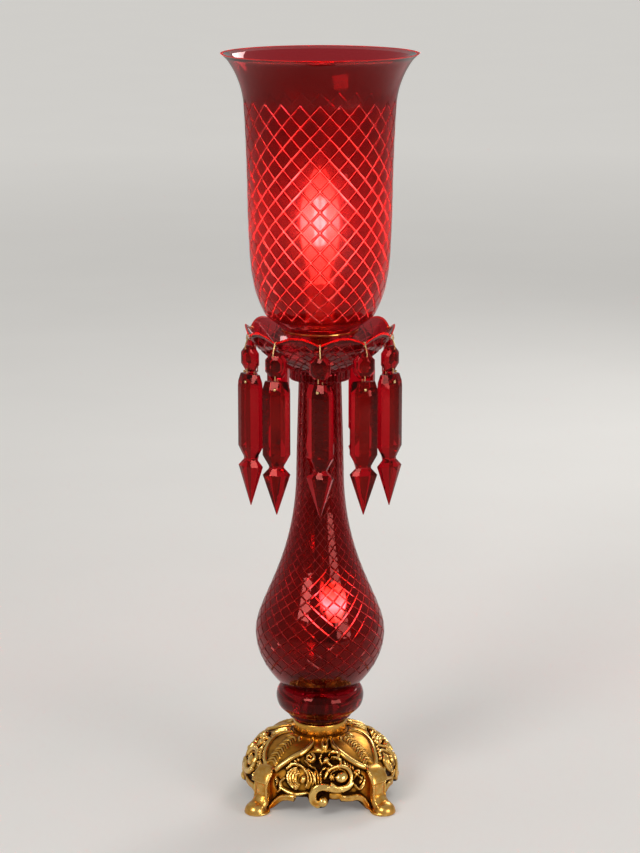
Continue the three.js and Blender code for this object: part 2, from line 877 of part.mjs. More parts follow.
function bulbGlass() {
  const belly = candleBottom + candleBellyHeight;
  const tip = candleBottom + candleHeight;
  const neck = at(candleNeckRadius, candleBottom);
  const lower = curve(
    neck,
    at(candleNeckRadius + 1, candleBottom + 0.5 * candleBellyHeight),
    at(candleRadius, belly - 0.5 * candleBellyHeight),
    at(candleRadius, belly),
    bulbSteps,
  );
  const upper = curve(
    at(candleRadius, belly),
    at(candleRadius, belly + 0.4 * (tip - belly)),
    at(candleNeckRadius, tip - 6),
    at(0, tip),
    bulbSteps,
  );
  const solid = turnedSolid([at(0, candleBottom), ...lower, ...upper.slice(1)], turnedSides);
  return piece("bulb_glass", solid, frostedGlass);
}

// Night light, off the tube's side inside the stem

function nightLight() {
  const group = new THREE.Group();
  const azimuth = radians(nightLightAzimuth);
  const eye = tubeRadius + slipGap;
  const armTop = nightBracketBottom + bracketThickness;
  const arm = plate(
    [
      at(eye + bracketEyeWall / 2, nightBracketBottom),
      at(nightLightReach, nightBracketBottom),
      at(nightLightReach, armTop),
      at(eye + bracketEyeWall / 2, armTop),
    ],
    nightHolderRadius,
    0,
  );
  const foot = ring(nightHolderRadius * 0.8, 0, nightBracketBottom, armTop, turnedSides);
  const bracket = ring(eye + bracketEyeWall, eye, nightBracketBottom, armTop, turnedSides)
    .add(arm)
    .add(foot.translate([nightLightReach, 0, 0]));
  const socket = nightCapRadius + slipGap;
  const holderTop = nightHolderBottom + nightHolderHeight;
  const holder = turnedSolid(
    [
      at(0, nightHolderBottom),
      at(nightHolderRadius, nightHolderBottom),
      at(nightHolderRadius, holderTop),
      at(socket, holderTop),
      at(socket, holderTop - nightCapInset),
      at(0, holderTop - nightCapInset),
    ],
    turnedSides,
  );
  const bulbBottom = holderTop - nightCapInset + seatGap;
  const bulb = turnedSolid(
    [
      at(0, bulbBottom),
      at(nightCapRadius, bulbBottom + 2),
      at(nightCapRadius, holderTop + 1),
      at(nightBulbRadius * 0.85, holderTop + 0.25 * nightBulbHeight),
      at(nightBulbRadius, holderTop + 0.5 * nightBulbHeight),
      at(nightBulbRadius * 0.8, holderTop + 0.8 * nightBulbHeight),
      at(0, holderTop + nightBulbHeight),
    ],
    turnedSides,
  );
  const aside = [nightLightReach, 0, 0];
  group.add(
    piece("night_light_bracket", bracket, polishedBrass),
    piece("night_light_holder", holder.translate(aside), blackPlastic),
    piece("night_light_bulb", bulb.translate(aside), frostedGlass),
  );
  group.rotation.z = azimuth;
  return group;
}

// Hanging strings: in their own frame +X is the way out from the lamp's axis

// Angle of a string about the axis, the first one at the front
function stringAzimuth(i) {
  return (2 * Math.PI * i) / dishLobes - Math.PI / 2;
}

const beadMiddle = loopCentre.y - beadDrop;
const beadTopHole = beadMiddle + beadHeight / 2 - beadHoleInset;
const beadLowHole = beadMiddle - beadHeight / 2 + beadHoleInset;
const prismTop = beadMiddle - beadHeight / 2 - prismGap;
const prismHole = prismTop - prismHoleInset;
const beadTable = 0.55; // share of the bead's outline that its flat faces take
const girdle = 1; // half the height of the bead's flat edge
const beadHoleShare = (beadHeight / 2 - beadHoleInset) / (beadHeight / 2);
const beadHalfAtHole =
  girdle + ((beadThickness / 2 - girdle) * (1 - beadHoleShare)) / (1 - beadTable);
const prismHoleShare = prismHoleInset / prismTopBevel;
const prismTopShare = 0.35; // thickness left at the very top of the prism
const prismHalfAtHole =
  (prismThickness / 2) * (prismTopShare + (1 - prismTopShare) * Math.min(prismHoleShare, 1));
const wirePast = wireClearance + wireRadius; // glass face to the middle of a wire beside it

// An eight-sided outline around a middle, in the plane of width and the given height axis
function octagon(halfWidth, halfHeight, cut) {
  const w = halfWidth * cut;
  const h = halfHeight * cut;
  return [
    at(halfWidth, -h),
    at(halfWidth, h),
    at(w, halfHeight),
    at(-w, halfHeight),
    at(-halfWidth, h),
    at(-halfWidth, -h),
    at(-w, -halfHeight),
    at(w, -halfHeight),
  ];
}

function bead() {
  const outline = octagon(beadWidth / 2, beadHeight / 2, 0.45);
  const layer = (x, share) =>
    outline.map((p) => new THREE.Vector3(loopCentre.x + x, p.x * share, beadMiddle + p.y * share));
  const face = beadThickness / 2;
  let solid = lofted([
    layer(-face, beadTable),
    layer(-girdle, 1),
    layer(girdle, 1),
    layer(face, beadTable),
  ]);
  for (const height of [beadTopHole, beadLowHole]) {
    solid = solid.subtract(crossBar(glassHoleRadius, 2 * beadThickness, loopCentre.x, height));
  }
  return solid;
}

function prism() {
  const outline = octagon(prismWidth / 2, prismThickness / 2, 0.45);
  const level = (drop, across, through) =>
    outline.map(
      (p) => new THREE.Vector3(loopCentre.x - p.y * through, p.x * across, prismTop - drop),
    );
  const spearTop = prismLength - prismSpear;
  const neckTop = spearTop - prismNeck;
  const levels = [
    level(prismLength, 0.03, 0.03),
    level(spearTop + spearShoulder, 1, 0.95),
    level(spearTop, prismNeckScale, prismNeckScale),
    level(neckTop, prismNeckScale, prismNeckScale),
    level(neckTop - prismWaist, 1, 1),
    level(prismTopBevel, 1, 1),
    level(0, 0.66, prismTopShare),
  ];
  const hole = crossBar(glassHoleRadius, 2 * prismThickness, loopCentre.x, prismHole);
  return lofted(levels).subtract(hole);
}

// The wire loop round the dish's rim, down the bead's front and back through its upper hole
function hookPin() {
  const front = beadHalfAtHole + wirePast;
  const points = [];
  for (let angle = 290; angle >= 2; angle -= 36) {
    const turn = radians(angle);
    points.push(at(loopRadius * Math.cos(turn), loopRadius * Math.sin(turn)));
  }
  const drop = loopCentre.y - beadTopHole;
  points.push(
    at(front, -drop + 3),
    at(front, -drop + 0.8),
    at(front - 0.8, -drop),
    at(0.8 - front, -drop),
    at(-front, -drop + 0.8),
    at(-front, -drop + 0.8 + hookTail),
  );
  return wire(points.map((p) => p.add(loopCentre)), wireRadius, hookSteps);
}

// The headed wire through the prism's hole, up behind and forward through the bead's lower hole
function linkPin() {
  const back = prismHalfAtHole + wirePast;
  const curl = beadHalfAtHole + wirePast;
  const rise = beadLowHole - prismHole;
  const points = [
    at(back, 0),
    at(0.8 - back, 0),
    at(-back, 0.8),
    at(-back, rise - 0.8),
    at(0.8 - back, rise),
    at(curl - 0.8, rise),
    at(curl, rise - 0.8),
    at(curl, rise - linkCurl),
  ];
  const foot = at(loopCentre.x, prismHole);
  const head = new THREE.SphereGeometry(pinHeadRadius, 6, 4);
  head.translate(foot.x + back + pinHeadRadius / 2, 0, foot.y);
  return wire(points.map((p) => p.add(foot)), wireRadius, linkSteps).add(solidOf(head));
}

function hangingString(i) {
  const group = new THREE.Group();
  const number = String(i + 1).padStart(2, "0");
  group.add(
    piece("hook_pin_" + number, hookPin(), wireBrass),
    piece("bead_" + number, bead(), ruby),
    piece("link_pin_" + number, linkPin(), wireBrass),
    piece("prism_" + number, prism(), ruby),
  );
  group.rotation.z = stringAzimuth(i);
  return group;
}

// The whole lamp

const lamp = new THREE.Group();
lamp.add(
  castBase(),
  brassCollar(),
  glassKnop(),
  glassStem(),
  dripDish(),
  shadeGallery(),
  glassShade(),
  lampTube(),
  baseWasher(),
  piece("base_nut", hexNut(baseNutTop - nutThickness), steel),
  cordBushing(),
  dripDisc(),
  piece("check_nut", hexNut(checkNutBottom), polishedBrass),
  lampholder(),
  candleSleeve(),
  bulbCap(),
  bulbGlass(),
  nightLight(),
);
for (let i = 0; i < dishLobes; i++) {
  lamp.add(hangingString(i));
}

export default lamp;
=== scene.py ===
"""The looks of the cut glass table lamp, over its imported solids.

Lengths are in millimetres until a mesh is made. Heights run up from the table, the lamp's axis is
the Z axis, and the front faces -Y.
"""

import math

import bmesh
import bpy
import numpy as np
from mathutils import Matrix, Vector


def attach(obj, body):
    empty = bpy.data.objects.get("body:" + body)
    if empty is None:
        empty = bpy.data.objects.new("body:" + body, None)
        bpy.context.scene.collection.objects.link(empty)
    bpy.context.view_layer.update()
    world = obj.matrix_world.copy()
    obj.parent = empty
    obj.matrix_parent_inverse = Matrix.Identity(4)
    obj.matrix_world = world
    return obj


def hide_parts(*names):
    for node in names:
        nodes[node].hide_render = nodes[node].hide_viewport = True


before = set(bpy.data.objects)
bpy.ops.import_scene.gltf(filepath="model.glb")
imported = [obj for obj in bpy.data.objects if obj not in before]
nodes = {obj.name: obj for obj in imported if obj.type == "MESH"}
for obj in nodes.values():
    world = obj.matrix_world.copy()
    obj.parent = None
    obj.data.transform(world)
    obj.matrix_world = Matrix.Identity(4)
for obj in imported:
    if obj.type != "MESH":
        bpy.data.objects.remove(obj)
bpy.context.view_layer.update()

MM = 0.001
STRINGS = 10
BORE = 5.4  # radius of the holes that the lamp's tube passes through
AXIS = 0.02  # radius of a ring of points at the lamp's axis
LOOP_RADIUS = 65.18  # a hook's loop: its distance from the lamp's axis and its height
LOOP_HEIGHT = 433.03
BEAD_MIDDLE = 413.83  # heights of the beads' middles and the prisms' tops
PRISM_TOP = 399.83
WIRE_RADIUS, WIRE_SIDES = 0.5, 10
WIRE_BEND = 0.8  # how far a bend in a wire cuts its corner off
DISH_NECK, DISH_FLOOR = 27.5, 403.1  # radius and height where the dish's lobes start
DOME_RADIUS, DOME_FOOT = 70.5, 22  # the dome at its widest, and the height where it turns upright
VOXEL = 0.5  # how finely the parts of a foot are run together

CUT_LINES = 24  # crossing cuts of each way round the shade and the stem
RIM_RINGS = 4  # bands of faces on a rim's ground edge
LIT, GROUND = 1, 2  # a vessel's finishes: its smooth inside and its ground rim

# Edges sharper than these angles, in degrees, stay crisp
FACET_SHARP, CUT_SHARP, TURNED_SHARP, ROUND_SHARP, CAST_SHARP = 12, 16, 28, 40, 60

# The camera, in metres and degrees, as fitted to the rims in the photograph
CAMERA_PLACE, CAMERA_TILT, CAMERA_LENS = (0, -2.161, 0.85394), 76.8, 104.07


# Shaders


def linear(hex_colour, strength=1.0):
    """A colour written as sRGB hex, as the linear values that the shaders take."""
    parts = [int(hex_colour[i : i + 2], 16) / 255 for i in (1, 3, 5)]
    parts = [p / 12.92 if p <= 0.04045 else ((p + 0.055) / 1.055) ** 2.4 for p in parts]
    return tuple(p * strength for p in parts) + (1.0,)


def add(tree, kind, settings=(), output=0, **links):
    """One shader node with its settings, its sockets set or linked by name (_ for a space, and _0
    for the first), and colours in hex. It gives the node's output, if it has any."""
    node = tree.nodes.new("ShaderNode" + kind)
    for name, value in dict(settings).items():
        setattr(node, name, value)
    for name, value in links.items():
        key = int(name[1:]) if name[1:].isdigit() else name.replace("_", " ")
        socket = node.inputs[key]
        if isinstance(value, bpy.types.NodeSocket):
            tree.links.new(value, socket)
        else:
            socket.default_value = linear(value) if isinstance(value, str) else value
    return node.outputs[output] if node.outputs else node


def new_finish(name):
    """An empty material, ready for a surface."""
    material = bpy.data.materials.new(name)
    material.use_nodes = True
    material.node_tree.nodes.clear()
    return material, material.node_tree


def ended(material, surface):
    """A material with its surface in place."""
    add(material.node_tree, "OutputMaterial", Surface=surface)
    return material


def noise(tree, size, detail=3.0, stretch=(1, 1, 1)):
    """Cloudy variation whose patches are about `size` millimetres across."""
    place = add(tree, "TexCoord", output="Object")
    place = add(tree, "Mapping", Vector=place, Scale=stretch)
    return add(tree, "TexNoise", Vector=place, Scale=1 / (size * MM), Detail=detail)


def ranged(tree, value, low, high, start=0.0, stop=1.0):
    """A value brought from one range to another, and kept inside it."""
    ends = {"From_Min": low, "From_Max": high, "To_Min": start, "To_Max": stop}
    return add(tree, "MapRange", Value=value, **ends)


def mixed(tree, share, first, second):
    """A blend of two colours by a share."""
    return add(tree, "Mix", {"data_type": "RGBA"}, 2, _0=share, _6=first, _7=second)


def worked(tree, operation, first, second=0.0):
    """The result of one sum on two values."""
    return add(tree, "Math", {"operation": operation}, _0=first, _1=second)


def marked(tree, name):
    """The values that a mesh carries at its points under a name."""
    return add(tree, "Attribute", {"attribute_name": name}, "Fac")


def bumped(tree, height, strength, distance):
    """A fine relief in a surface, its distance in millimetres."""
    return add(tree, "Bump", Strength=strength, Distance=distance * MM, Height=height)


def principled(tree, **links):
    """The usual surface shader with its sockets."""
    return add(tree, "BsdfPrincipled", **links)


def shared(tree, share, first, second):
    """A blend of two shaders by a share."""
    return add(tree, "MixShader", _0=share, _1=first, _2=second)


def ruby_glass(name, tint, scatter=0.0, cut_scatter=0.0, roughness=0.03):
    """Lead crystal coloured through with gold ruby, blown, cut on the wheel and acid polished.

    It is clear with a hard gloss, deep red where it is thick, and lets red light through. A little
    of the lamp's light scatters in a lit wall, and more in the cuts, which show as bright lines."""
    material, tree = new_finish(name)
    ripple = bumped(tree, noise(tree, 9.0, 1.0), strength=0.12, distance=0.4)
    surface = glass = principled(
        tree,
        Base_Color=tint,
        Roughness=roughness,
        IOR=1.54,
        Transmission_Weight=1.0,
        Specular_Tint="#FF8078",
        Normal=ripple,
    )
    if scatter or cut_scatter:
        share, colour = scatter, "#FF4038"
        if cut_scatter:
            mark = marked(tree, "cut")
            share = ranged(tree, mark, 0.15, 0.85, scatter, cut_scatter)
            colour = mixed(tree, mark, "#FF4038", "#FFB4A8")
        glow = add(tree, "BsdfTranslucent", Color=colour)
        surface = shared(tree, share, glass, glow)
    through = add(tree, "BsdfTransparent", Color=tint)
    shadow = add(tree, "LightPath", output="Is Shadow Ray")
    return ended(material, shared(tree, shadow, surface, through))


def cast_brass():
    """Sand cast brass, lacquered an antique gold, with the fine skin of the sand left in the
    ground.
    Its hollows go dark brown, partly a patina and partly painted shade, and its ridges bright
    yellow, partly rubbed and partly a painted highlight."""
    material, tree = new_finish("cast_brass")
    hollow = marked(tree, "hollow")
    cloud = noise(tree, 5.0)
    patina_wear_and_painted_light = worked(tree, "ADD", hollow, ranged(tree, cloud, 0.3, 0.7, -0.08, 0.08))
    # Painted shade with patina: hollow points go dark brown. Painted highlight with rubbing: raised
    # points go bright yellow.
    dark = ranged(tree, patina_wear_and_painted_light, 0.52, 0.8)
    bright = ranged(tree, patina_wear_and_painted_light, 0.46, 0.2)
    colour = mixed(tree, dark, "#D08E30", "#2C1503")
    colour = mixed(tree, bright, colour, "#FFD27A")
    rough = ranged(tree, patina_wear_and_painted_light, 0.2, 0.8, 0.2, 0.55)
    skin = bumped(tree, noise(tree, 0.7, 2.0), strength=0.2, distance=0.1)
    metal = principled(tree, Base_Color=colour, Metallic=1.0, Roughness=rough, Normal=skin)
    return ended(material, metal)


def turned_metal(name, tint, roughness):
    """Metal turned on a lathe and polished: a clear gloss over very fine rings round its axis."""
    material, tree = new_finish(name)
    rings = noise(tree, 0.35, 2.0, stretch=(0.05, 0.05, 1))
    bump = bumped(tree, rings, strength=0.12, distance=0.03)
    cloud = noise(tree, 7.0)
    colour = mixed(tree, ranged(tree, cloud, 0.35, 0.75), tint, linear(tint, 0.72))
    rough = ranged(tree, cloud, 0.3, 0.7, roughness, roughness + 0.1)
    metal = principled(tree, Base_Color=colour, Metallic=1.0, Roughness=rough, Normal=bump)
    return ended(material, metal)


def moulded_plastic(name, tint, roughness):
    """Moulded plastic: one colour, a soft gloss, and a faint skin from the mould."""
    material, tree = new_finish(name)
    skin = bumped(tree, noise(tree, 1.2, 2.0), strength=0.15, distance=0.05)
    cloud = ranged(tree, noise(tree, 12.0), 0.3, 0.7)
    colour = mixed(tree, cloud, tint, linear(tint, 0.86))
    plastic = principled(tree, Base_Color=colour, Roughness=roughness, Normal=skin)
    return ended(material, plastic)


def lit_bulb(name, strength, middle, reach, clear=0.0):
    """Soda glass lightly frosted with acid inside, lit by its filaments: warm white at the middle,
    dimmer towards its ends, with the filaments themselves showing through where it is clear."""
    material, tree = new_finish(name)
    place = add(tree, "TexCoord", output="Object")
    height = add(tree, "SeparateXYZ", output="Z", Vector=place)
    away = worked(tree, "ABSOLUTE", worked(tree, "SUBTRACT", height, middle * MM))
    near = ranged(tree, away, reach * MM, 0.0)
    near = worked(tree, "MULTIPLY", near, near)
    frost = ranged(tree, noise(tree, 3.0), 0.3, 0.7, 0.92, 1.0)
    power = worked(tree, "MULTIPLY", frost, strength)
    power = worked(tree, "MULTIPLY", power, ranged(tree, near, 0.0, 1.0, 0.08, 1.0))
    glass = principled(
        tree,
        Base_Color="#F6EBD8",
        Roughness=0.35,
        Emission_Color=mixed(tree, near, "#FFA85A", "#FFEBD2"),
        Emission_Strength=power,
    )
    if clear:
        through = add(tree, "BsdfTransparent", Color="#FFF4E4")
        glass = shared(tree, clear, glass, through)
    return ended(material, glass)


def hot_filament(name, strength):
    """A lit filament stick: a warm phosphor skin, too bright to look at."""
    material, tree = new_finish(name)
    frost = ranged(tree, noise(tree, 1.0), 0.3, 0.7, 0.85, 1.0)
    power = worked(tree, "MULTIPLY", frost, strength)
    skin = add(tree, "Emission", Color="#FFF2E2", Strength=power)
    return ended(material, skin)


SHADE_RED, STEM_RED = "#A02A32", "#961A22"
ruby_shade = ruby_glass("ruby_shade_glass", SHADE_RED, scatter=0.001, cut_scatter=0.17)
ruby_shade_lit = ruby_glass("ruby_shade_glass_lit", SHADE_RED, scatter=0.003, roughness=0.2)
ruby_stem = ruby_glass("ruby_stem_glass", STEM_RED, scatter=0.002, cut_scatter=0.2)
ruby_stem_lit = ruby_glass("ruby_stem_glass_lit", STEM_RED, scatter=0.006, roughness=0.15)
ruby_ground = ruby_glass("ruby_glass_ground_rim", SHADE_RED, scatter=0.5, roughness=0.25)
ruby_solid = ruby_glass("ruby_drop_glass", "#AC0614")
ruby_knop = ruby_glass("ruby_knop_glass", "#74060F", scatter=0.02)
brass_cast = cast_brass()
brass_polished = turned_metal("polished_brass", "#D9A95A", roughness=0.14)
brass_satin = turned_metal("satin_brass", "#E6AC4C", roughness=0.2)
brass_wire = turned_metal("drawn_brass_wire", "#E3C184", roughness=0.22)
steel_zinc = turned_metal("zinc_plated_steel", "#B9BABD", roughness=0.3)
cream_card = moulded_plastic("cream_moulded_tube", "#E9DFC6", roughness=0.55)
black_phenolic = moulded_plastic("black_phenolic", "#1B1B1D", roughness=0.42)
bulb_lit = lit_bulb("frosted_candle_bulb", strength=18.0, middle=534.0, reach=42.0, clear=0.6)
night_lit = lit_bulb("frosted_night_bulb", strength=60.0, middle=184.0, reach=24.0)
filament_lit = hot_filament("bulb_filament", strength=4000.0)


# Shapes


def raw_mesh(name, points, faces):
    """A mesh from points in millimetres."""
    mesh = bpy.data.meshes.new(name)
    mesh.from_pydata((np.asarray(points) * MM).tolist(), [], faces)
    return mesh


def new_piece(name, points, faces, finish, body, stands_for, sharp, marks=None):
    """A mesh piece, with what it marks at its points, that rides on a body and stands for nodes."""
    mesh = raw_mesh(name, points, faces)
    for mark, values in (marks or {}).items():
        attribute = mesh.attributes.new(mark, "FLOAT", "POINT")
        attribute.data.foreach_set("value", np.asarray(values, np.float32).ravel())
    return dress(name, mesh, finish, body, stands_for, sharp)


def dress(name, mesh, finish, body, stands_for, sharp, place=None):
    """An object for a finished mesh, smooth but for its sharp edges."""
    if not mesh.materials:
        mesh.materials.append(finish)
    mesh.shade_smooth()
    mesh.set_sharp_from_angle(angle=math.radians(sharp))
    piece = bpy.data.objects.new(name, mesh)
    if place is not None:
        piece.matrix_world = place
    bpy.context.scene.collection.objects.link(piece)
    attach(piece, body)
    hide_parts(*stands_for)
    return piece


def around(rings, columns, closed=False, first=0):
    """Faces between rings of points that go once round the axis."""
    ring = np.arange(rings if closed else rings - 1)[:, None]
    column = np.arange(columns)[None]
    beside = (column + 1) % columns
    low, high = ring * columns, (ring + 1) % rings * columns
    corners = [low + column, low + beside, high + beside, high + column]
    return (np.stack(corners, -1).reshape(-1, 4) + first).tolist()


def tube_of(rings):
    """A closed solid through rings of points, as points and faces."""
    count = len(rings[0])
    points = np.vstack(rings)
    faces = around(len(rings), count)
    faces += [list(range(count))[::-1], list(range(len(points) - count, len(points)))]
    return points, faces


def ball(middle, size, columns=28, rows=18, radius=1):
    """An oval ball, as points and faces."""
    made = bmesh.new()
    bmesh.ops.create_uvsphere(made, u_segments=columns, v_segments=rows, radius=radius)
    points = np.array([v.co for v in made.verts]) * size + middle
    # Blender lists a sphere's faces in another order each run.
    faces = sorted([v.index for v in f.verts] for f in made.faces)
    made.free()
    return points, faces


def joined(parts):
    """The points and faces of several solids, taken as one."""
    points, faces = [], []
    for part, sides in parts:
        faces += [[i + len(points) for i in face] for face in sides]
        points += part.tolist()
    return points, faces


def travelled(line):
    """How far along a line each of its points lies."""
    return np.concatenate([[0], np.cumsum(np.hypot(*np.diff(line, axis=0).T))])


def directions(line):
    """The unit direction of a line at each of its points."""
    along = np.gradient(line, axis=0)
    return along / np.linalg.norm(along, axis=1)[:, None]


def smooth_line(points, steps):
    """A smooth line through points, with `steps` points to each stretch."""
    p = np.asarray(points, float)
    p = np.vstack([2 * p[0] - p[1], p, 2 * p[-1] - p[-2]])
    t = np.linspace(0, 1, steps, endpoint=False)[:, None]
    runs = []
    for a, b, c, d in zip(p[:-3], p[1:-2], p[2:-1], p[3:]):
        square, cube = 2 * a - 5 * b + 4 * c - d, 3 * b - a - 3 * c + d
        runs.append(0.5 * (2 * b + (c - a) * t + square * t**2 + cube * t**3))
    return np.vstack(runs + [p[-2:-1]])


def bow(start, leave, arrive, stop, steps):
    """Points of a cubic curve with its two handles."""
    t = np.linspace(0, 1, steps + 1)[:, None]
    a, b, c, d = (np.asarray(p, float) for p in (start, leave, arrive, stop))
    return (1 - t) ** 3 * a + 3 * t * (1 - t) ** 2 * b + 3 * t * t * (1 - t) * c + t**3 * d


def eased(section, radius):
    """A closed section with each of its corners rounded in three steps, but for its flat ones."""
    p = np.asarray(section, float)
    out = []
    for before, corner, after in zip(np.roll(p, 1, 0), p, np.roll(p, -1, 0)):
        back, on = before - corner, after - corner
        turn = abs(back @ on) / (np.linalg.norm(back) * np.linalg.norm(on))
        if turn > 0.94:
            out.append(corner)
            continue
        a = corner + back * min(radius / np.linalg.norm(back), 0.45)
        b = corner + on * min(radius / np.linalg.norm(on), 0.45)
        for t in np.linspace(0, 1, 4):
            out.append((1 - t) ** 2 * a + 2 * t * (1 - t) * corner + t * t * b)
    return np.array(out)


def turned(section, sides, middle=(0, 0)):
    """Points and faces of a closed section of (radius, height) turned round an upright axis."""
    section = np.asarray(section, float)
    angle = 2 * np.pi * np.arange(sides) / sides
    radius = np.maximum(section[:, :1], AXIS)
    height = np.repeat(section[:, 1:], sides, 1)
    x, y = middle[0] + radius * np.cos(angle), middle[1] + radius * np.sin(angle)
    return np.stack([x, y, height], -1).reshape(-1, 3), around(len(section), sides, True)


def turned_piece(node, name, section, finish, slot, body="lamp", ease=0.5, sides=72, middle=(0, 0)):
    """A turned piece with eased corners that stands for a CAD node."""
    points, faces = turned(eased(section, ease), sides, middle)
    return new_piece(name, points, faces, finish, body, [node], TURNED_SHARP)


# Cut glass


def crossing_cuts(lines, levels, edge):
    """The net of a wall with two crossing sets of V cuts, in steps that follow the cuts.

    It gives each point's place round the wall (one unit to a cut), its level (one unit to a
    diamond) and how deep it lies in a cut, from 0 to 1."""
    steps = np.array([0, edge, 0.3, 0.5, 0.7, 1 - edge])
    column = np.arange(6 * lines)[None]
    row = np.arange(12 * levels + 1)[:, None]
    one = column // 6 + steps[column % 6]
    other = (column - row) // 6 + steps[(column - row) % 6]
    cut = np.zeros(np.broadcast_shapes(one.shape, other.shape))
    for way in (one, other):
        cut = np.maximum(cut, 1 - np.abs(way - np.round(way)) / edge)
    return (one + other) / 2, (one - other) / 2, cut


def cut_faces(rows, columns, first):
    """Triangles of a net of crossing cuts, laid along the cuts."""
    low = np.arange(rows - 1)[:, None] * columns + first
    high = low + columns
    column = np.arange(columns)[None]
    beside = (column + 1) % columns
    lower = np.stack(np.broadcast_arrays(low + column, low + beside, high + beside), -1)
    upper = np.stack(np.broadcast_arrays(low + column, high + beside, high + column), -1)
    return np.vstack([lower.reshape(-1, 3), upper.reshape(-1, 3)]).tolist()


def netted_wall(foot, net, top, cut, levels):
    """Points, marks and faces of a closed wall: plain rings, the net of cuts, and plain rings
    again, the last of which joins the first; and how many faces come before the upper rings."""
    columns = net.shape[1]
    points = np.vstack([np.reshape(part, (-1, 3)) for part in (foot, net, top)])
    marks = [np.zeros(len(foot) * columns), cut.ravel(), np.zeros(len(top) * columns)]
    first = (len(foot) - 1) * columns
    rows = len(net) + 2
    faces = around(len(foot), columns) + cut_faces(rows, columns, first)
    upper = len(faces)
    faces += around(len(top), columns, False, first + (rows - 1) * columns)
    across = np.arange(columns)
    below = (across - 6 * levels) % columns
    last = len(points) - columns
    seam = [last + across, last + (across + 1) % columns, (below + 1) % columns, below]
    return points, np.concatenate(marks), faces + np.stack(seam, -1).tolist(), upper


def cut_piece(name, points, marks, faces, finishes, index, node, body):
    """A piece of cut glass, each face with the finish that its index names."""
    slot, marks = "ruby_glass", {"cut": marks}
    piece = new_piece(name, points, faces, finishes[0], body, [node], CUT_SHARP, marks)
    for finish in finishes[1:]:
        piece.data.materials.append(finish)
    piece.data.polygons.foreach_set("material_index", index)


def cut_vessel(name, outside, inside, zone, diamond, depth, edge, finishes, node, body):
    """A blown wall cut with crossing V grooves between two heights, from its profile upwards. Its
    rim is ground, and its inside is lit as high as the cuts go."""
    outside = np.asarray(outside, float)
    run = travelled(outside)
    start, stop = np.interp(zone, outside[:, 1], run)
    fine = np.linspace(start, stop, 400)
    tall = diamond(np.interp(fine, run, outside[:, 0]))
    climbed = np.concatenate([[0], np.cumsum(np.diff(fine) / ((tall[1:] + tall[:-1]) / 2))])
    levels = int(round(climbed[-1]))
    turn, level, cut = crossing_cuts(CUT_LINES, levels, edge)
    way = np.interp(level * climbed[-1] / levels, climbed, fine)

    def wall(way, turn, sunk):
        """Points of the wall at a way up its profile, sunk below it."""
        ahead, behind = way + 0.5, way - 0.5
        along = [np.interp(ahead, run, side) - np.interp(behind, run, side) for side in outside.T]
        size = np.hypot(*along)
        radius = np.interp(way, run, outside[:, 0]) - sunk * along[1] / size
        height = np.interp(way, run, outside[:, 1]) + sunk * along[0] / size
        return ring_at(radius, height, turn * 2 * np.pi / CUT_LINES)

    def plain(section, turn):
        """Plain rings at the given radii and heights."""
        return [ring_at(radius, height, turn * 2 * np.pi / CUT_LINES) for radius, height in section]

    runout = 1.4
    low = [(r, z) for r, z, s in zip(*outside.T, run) if s < start - runout]
    high = [(r, z) for r, z, s in zip(*outside.T, run) if s > stop + runout]
    foot = plain(low, turn[0]) + [wall(start - runout, turn[0], 0.0)]
    net = wall(way, turn, cut * depth(np.interp(way, run, outside[:, 0])))
    top = [wall(stop + runout, turn[-1], 0.0)] + plain(high + inside, turn[-1])
    points, marks, faces, _ = netted_wall(foot, net, top, cut, levels)
    columns = turn.shape[1]
    index = np.zeros(len(faces), np.int32)
    rim = len(faces) - (len(inside) + RIM_RINGS) * columns
    index[rim : rim + RIM_RINGS * columns] = GROUND
    for ring, (_, height) in enumerate(inside, -len(inside)):
        if height < zone[1]:
            index[len(faces) + ring * columns : len(faces) + (ring + 1) * columns] = LIT
    cut_piece(name, points, marks, faces, finishes, index, node, body)


def ring_at(radius, height, angle):
    """Points round the axis at the given angles."""
    height = np.broadcast_to(height, angle.shape)
    return np.stack([radius * np.cos(angle), radius * np.sin(angle), height], -1)


def lining(outside, thick, low, high):
    """The inner side of a wall between two heights, from its top down."""
    p = np.asarray(outside, float)
    along = directions(p)
    inner = np.stack([p[:, 0] - along[:, 1] * thick, p[:, 1] + along[:, 0] * thick], -1)
    keep = (inner[:, 1] > low) & (inner[:, 1] < high) & (inner[:, 0] > 5)
    return inner[keep][::-1].tolist()


def shade():
    """The shade: a plain flared rim over a barrel and bowl cut with diamonds."""
    foot = [(29.0, 437.8), (34.6, 437.8), (35.3, 438.5), (35.3, 440.6), (36.2, 441.3)]
    bowl = [(38, 441.9), (43, 445.5), (48.9, 451), (54, 462), (57.7, 473), (60.7, 489), (62.2, 505)]
    barrel = [(63.6, 537), (64.2, 569), (65.1, 601), (66.6, 632), (67.7, 643), (70, 653)]
    flare = [(74.3, 664), (80.2, 674), (85.0, 679.2)]
    lip = [(86.4, 680.2), (86.9, 680.7), (86.6, 680.8), (85.4, 680.7)]
    wall = smooth_line(bowl + barrel + flare, 6).tolist()
    inner = lining(wall, thick=3.4, low=447.0, high=678.5)
    cut_vessel(
        "cut_glass_shade",
        foot + wall + lip,
        [(84.2, 680.2)] + inner + [(30.0, 445.4), (28.1, 444.4)],
        zone=(451.5, 641.0),
        diamond=lambda radius: 0.289 * radius,
        depth=lambda radius: radius / 62,
        edge=0.093,
        finishes=(ruby_shade, ruby_shade_lit, ruby_ground),
        node="glass_shade",
        body="shade",
    )


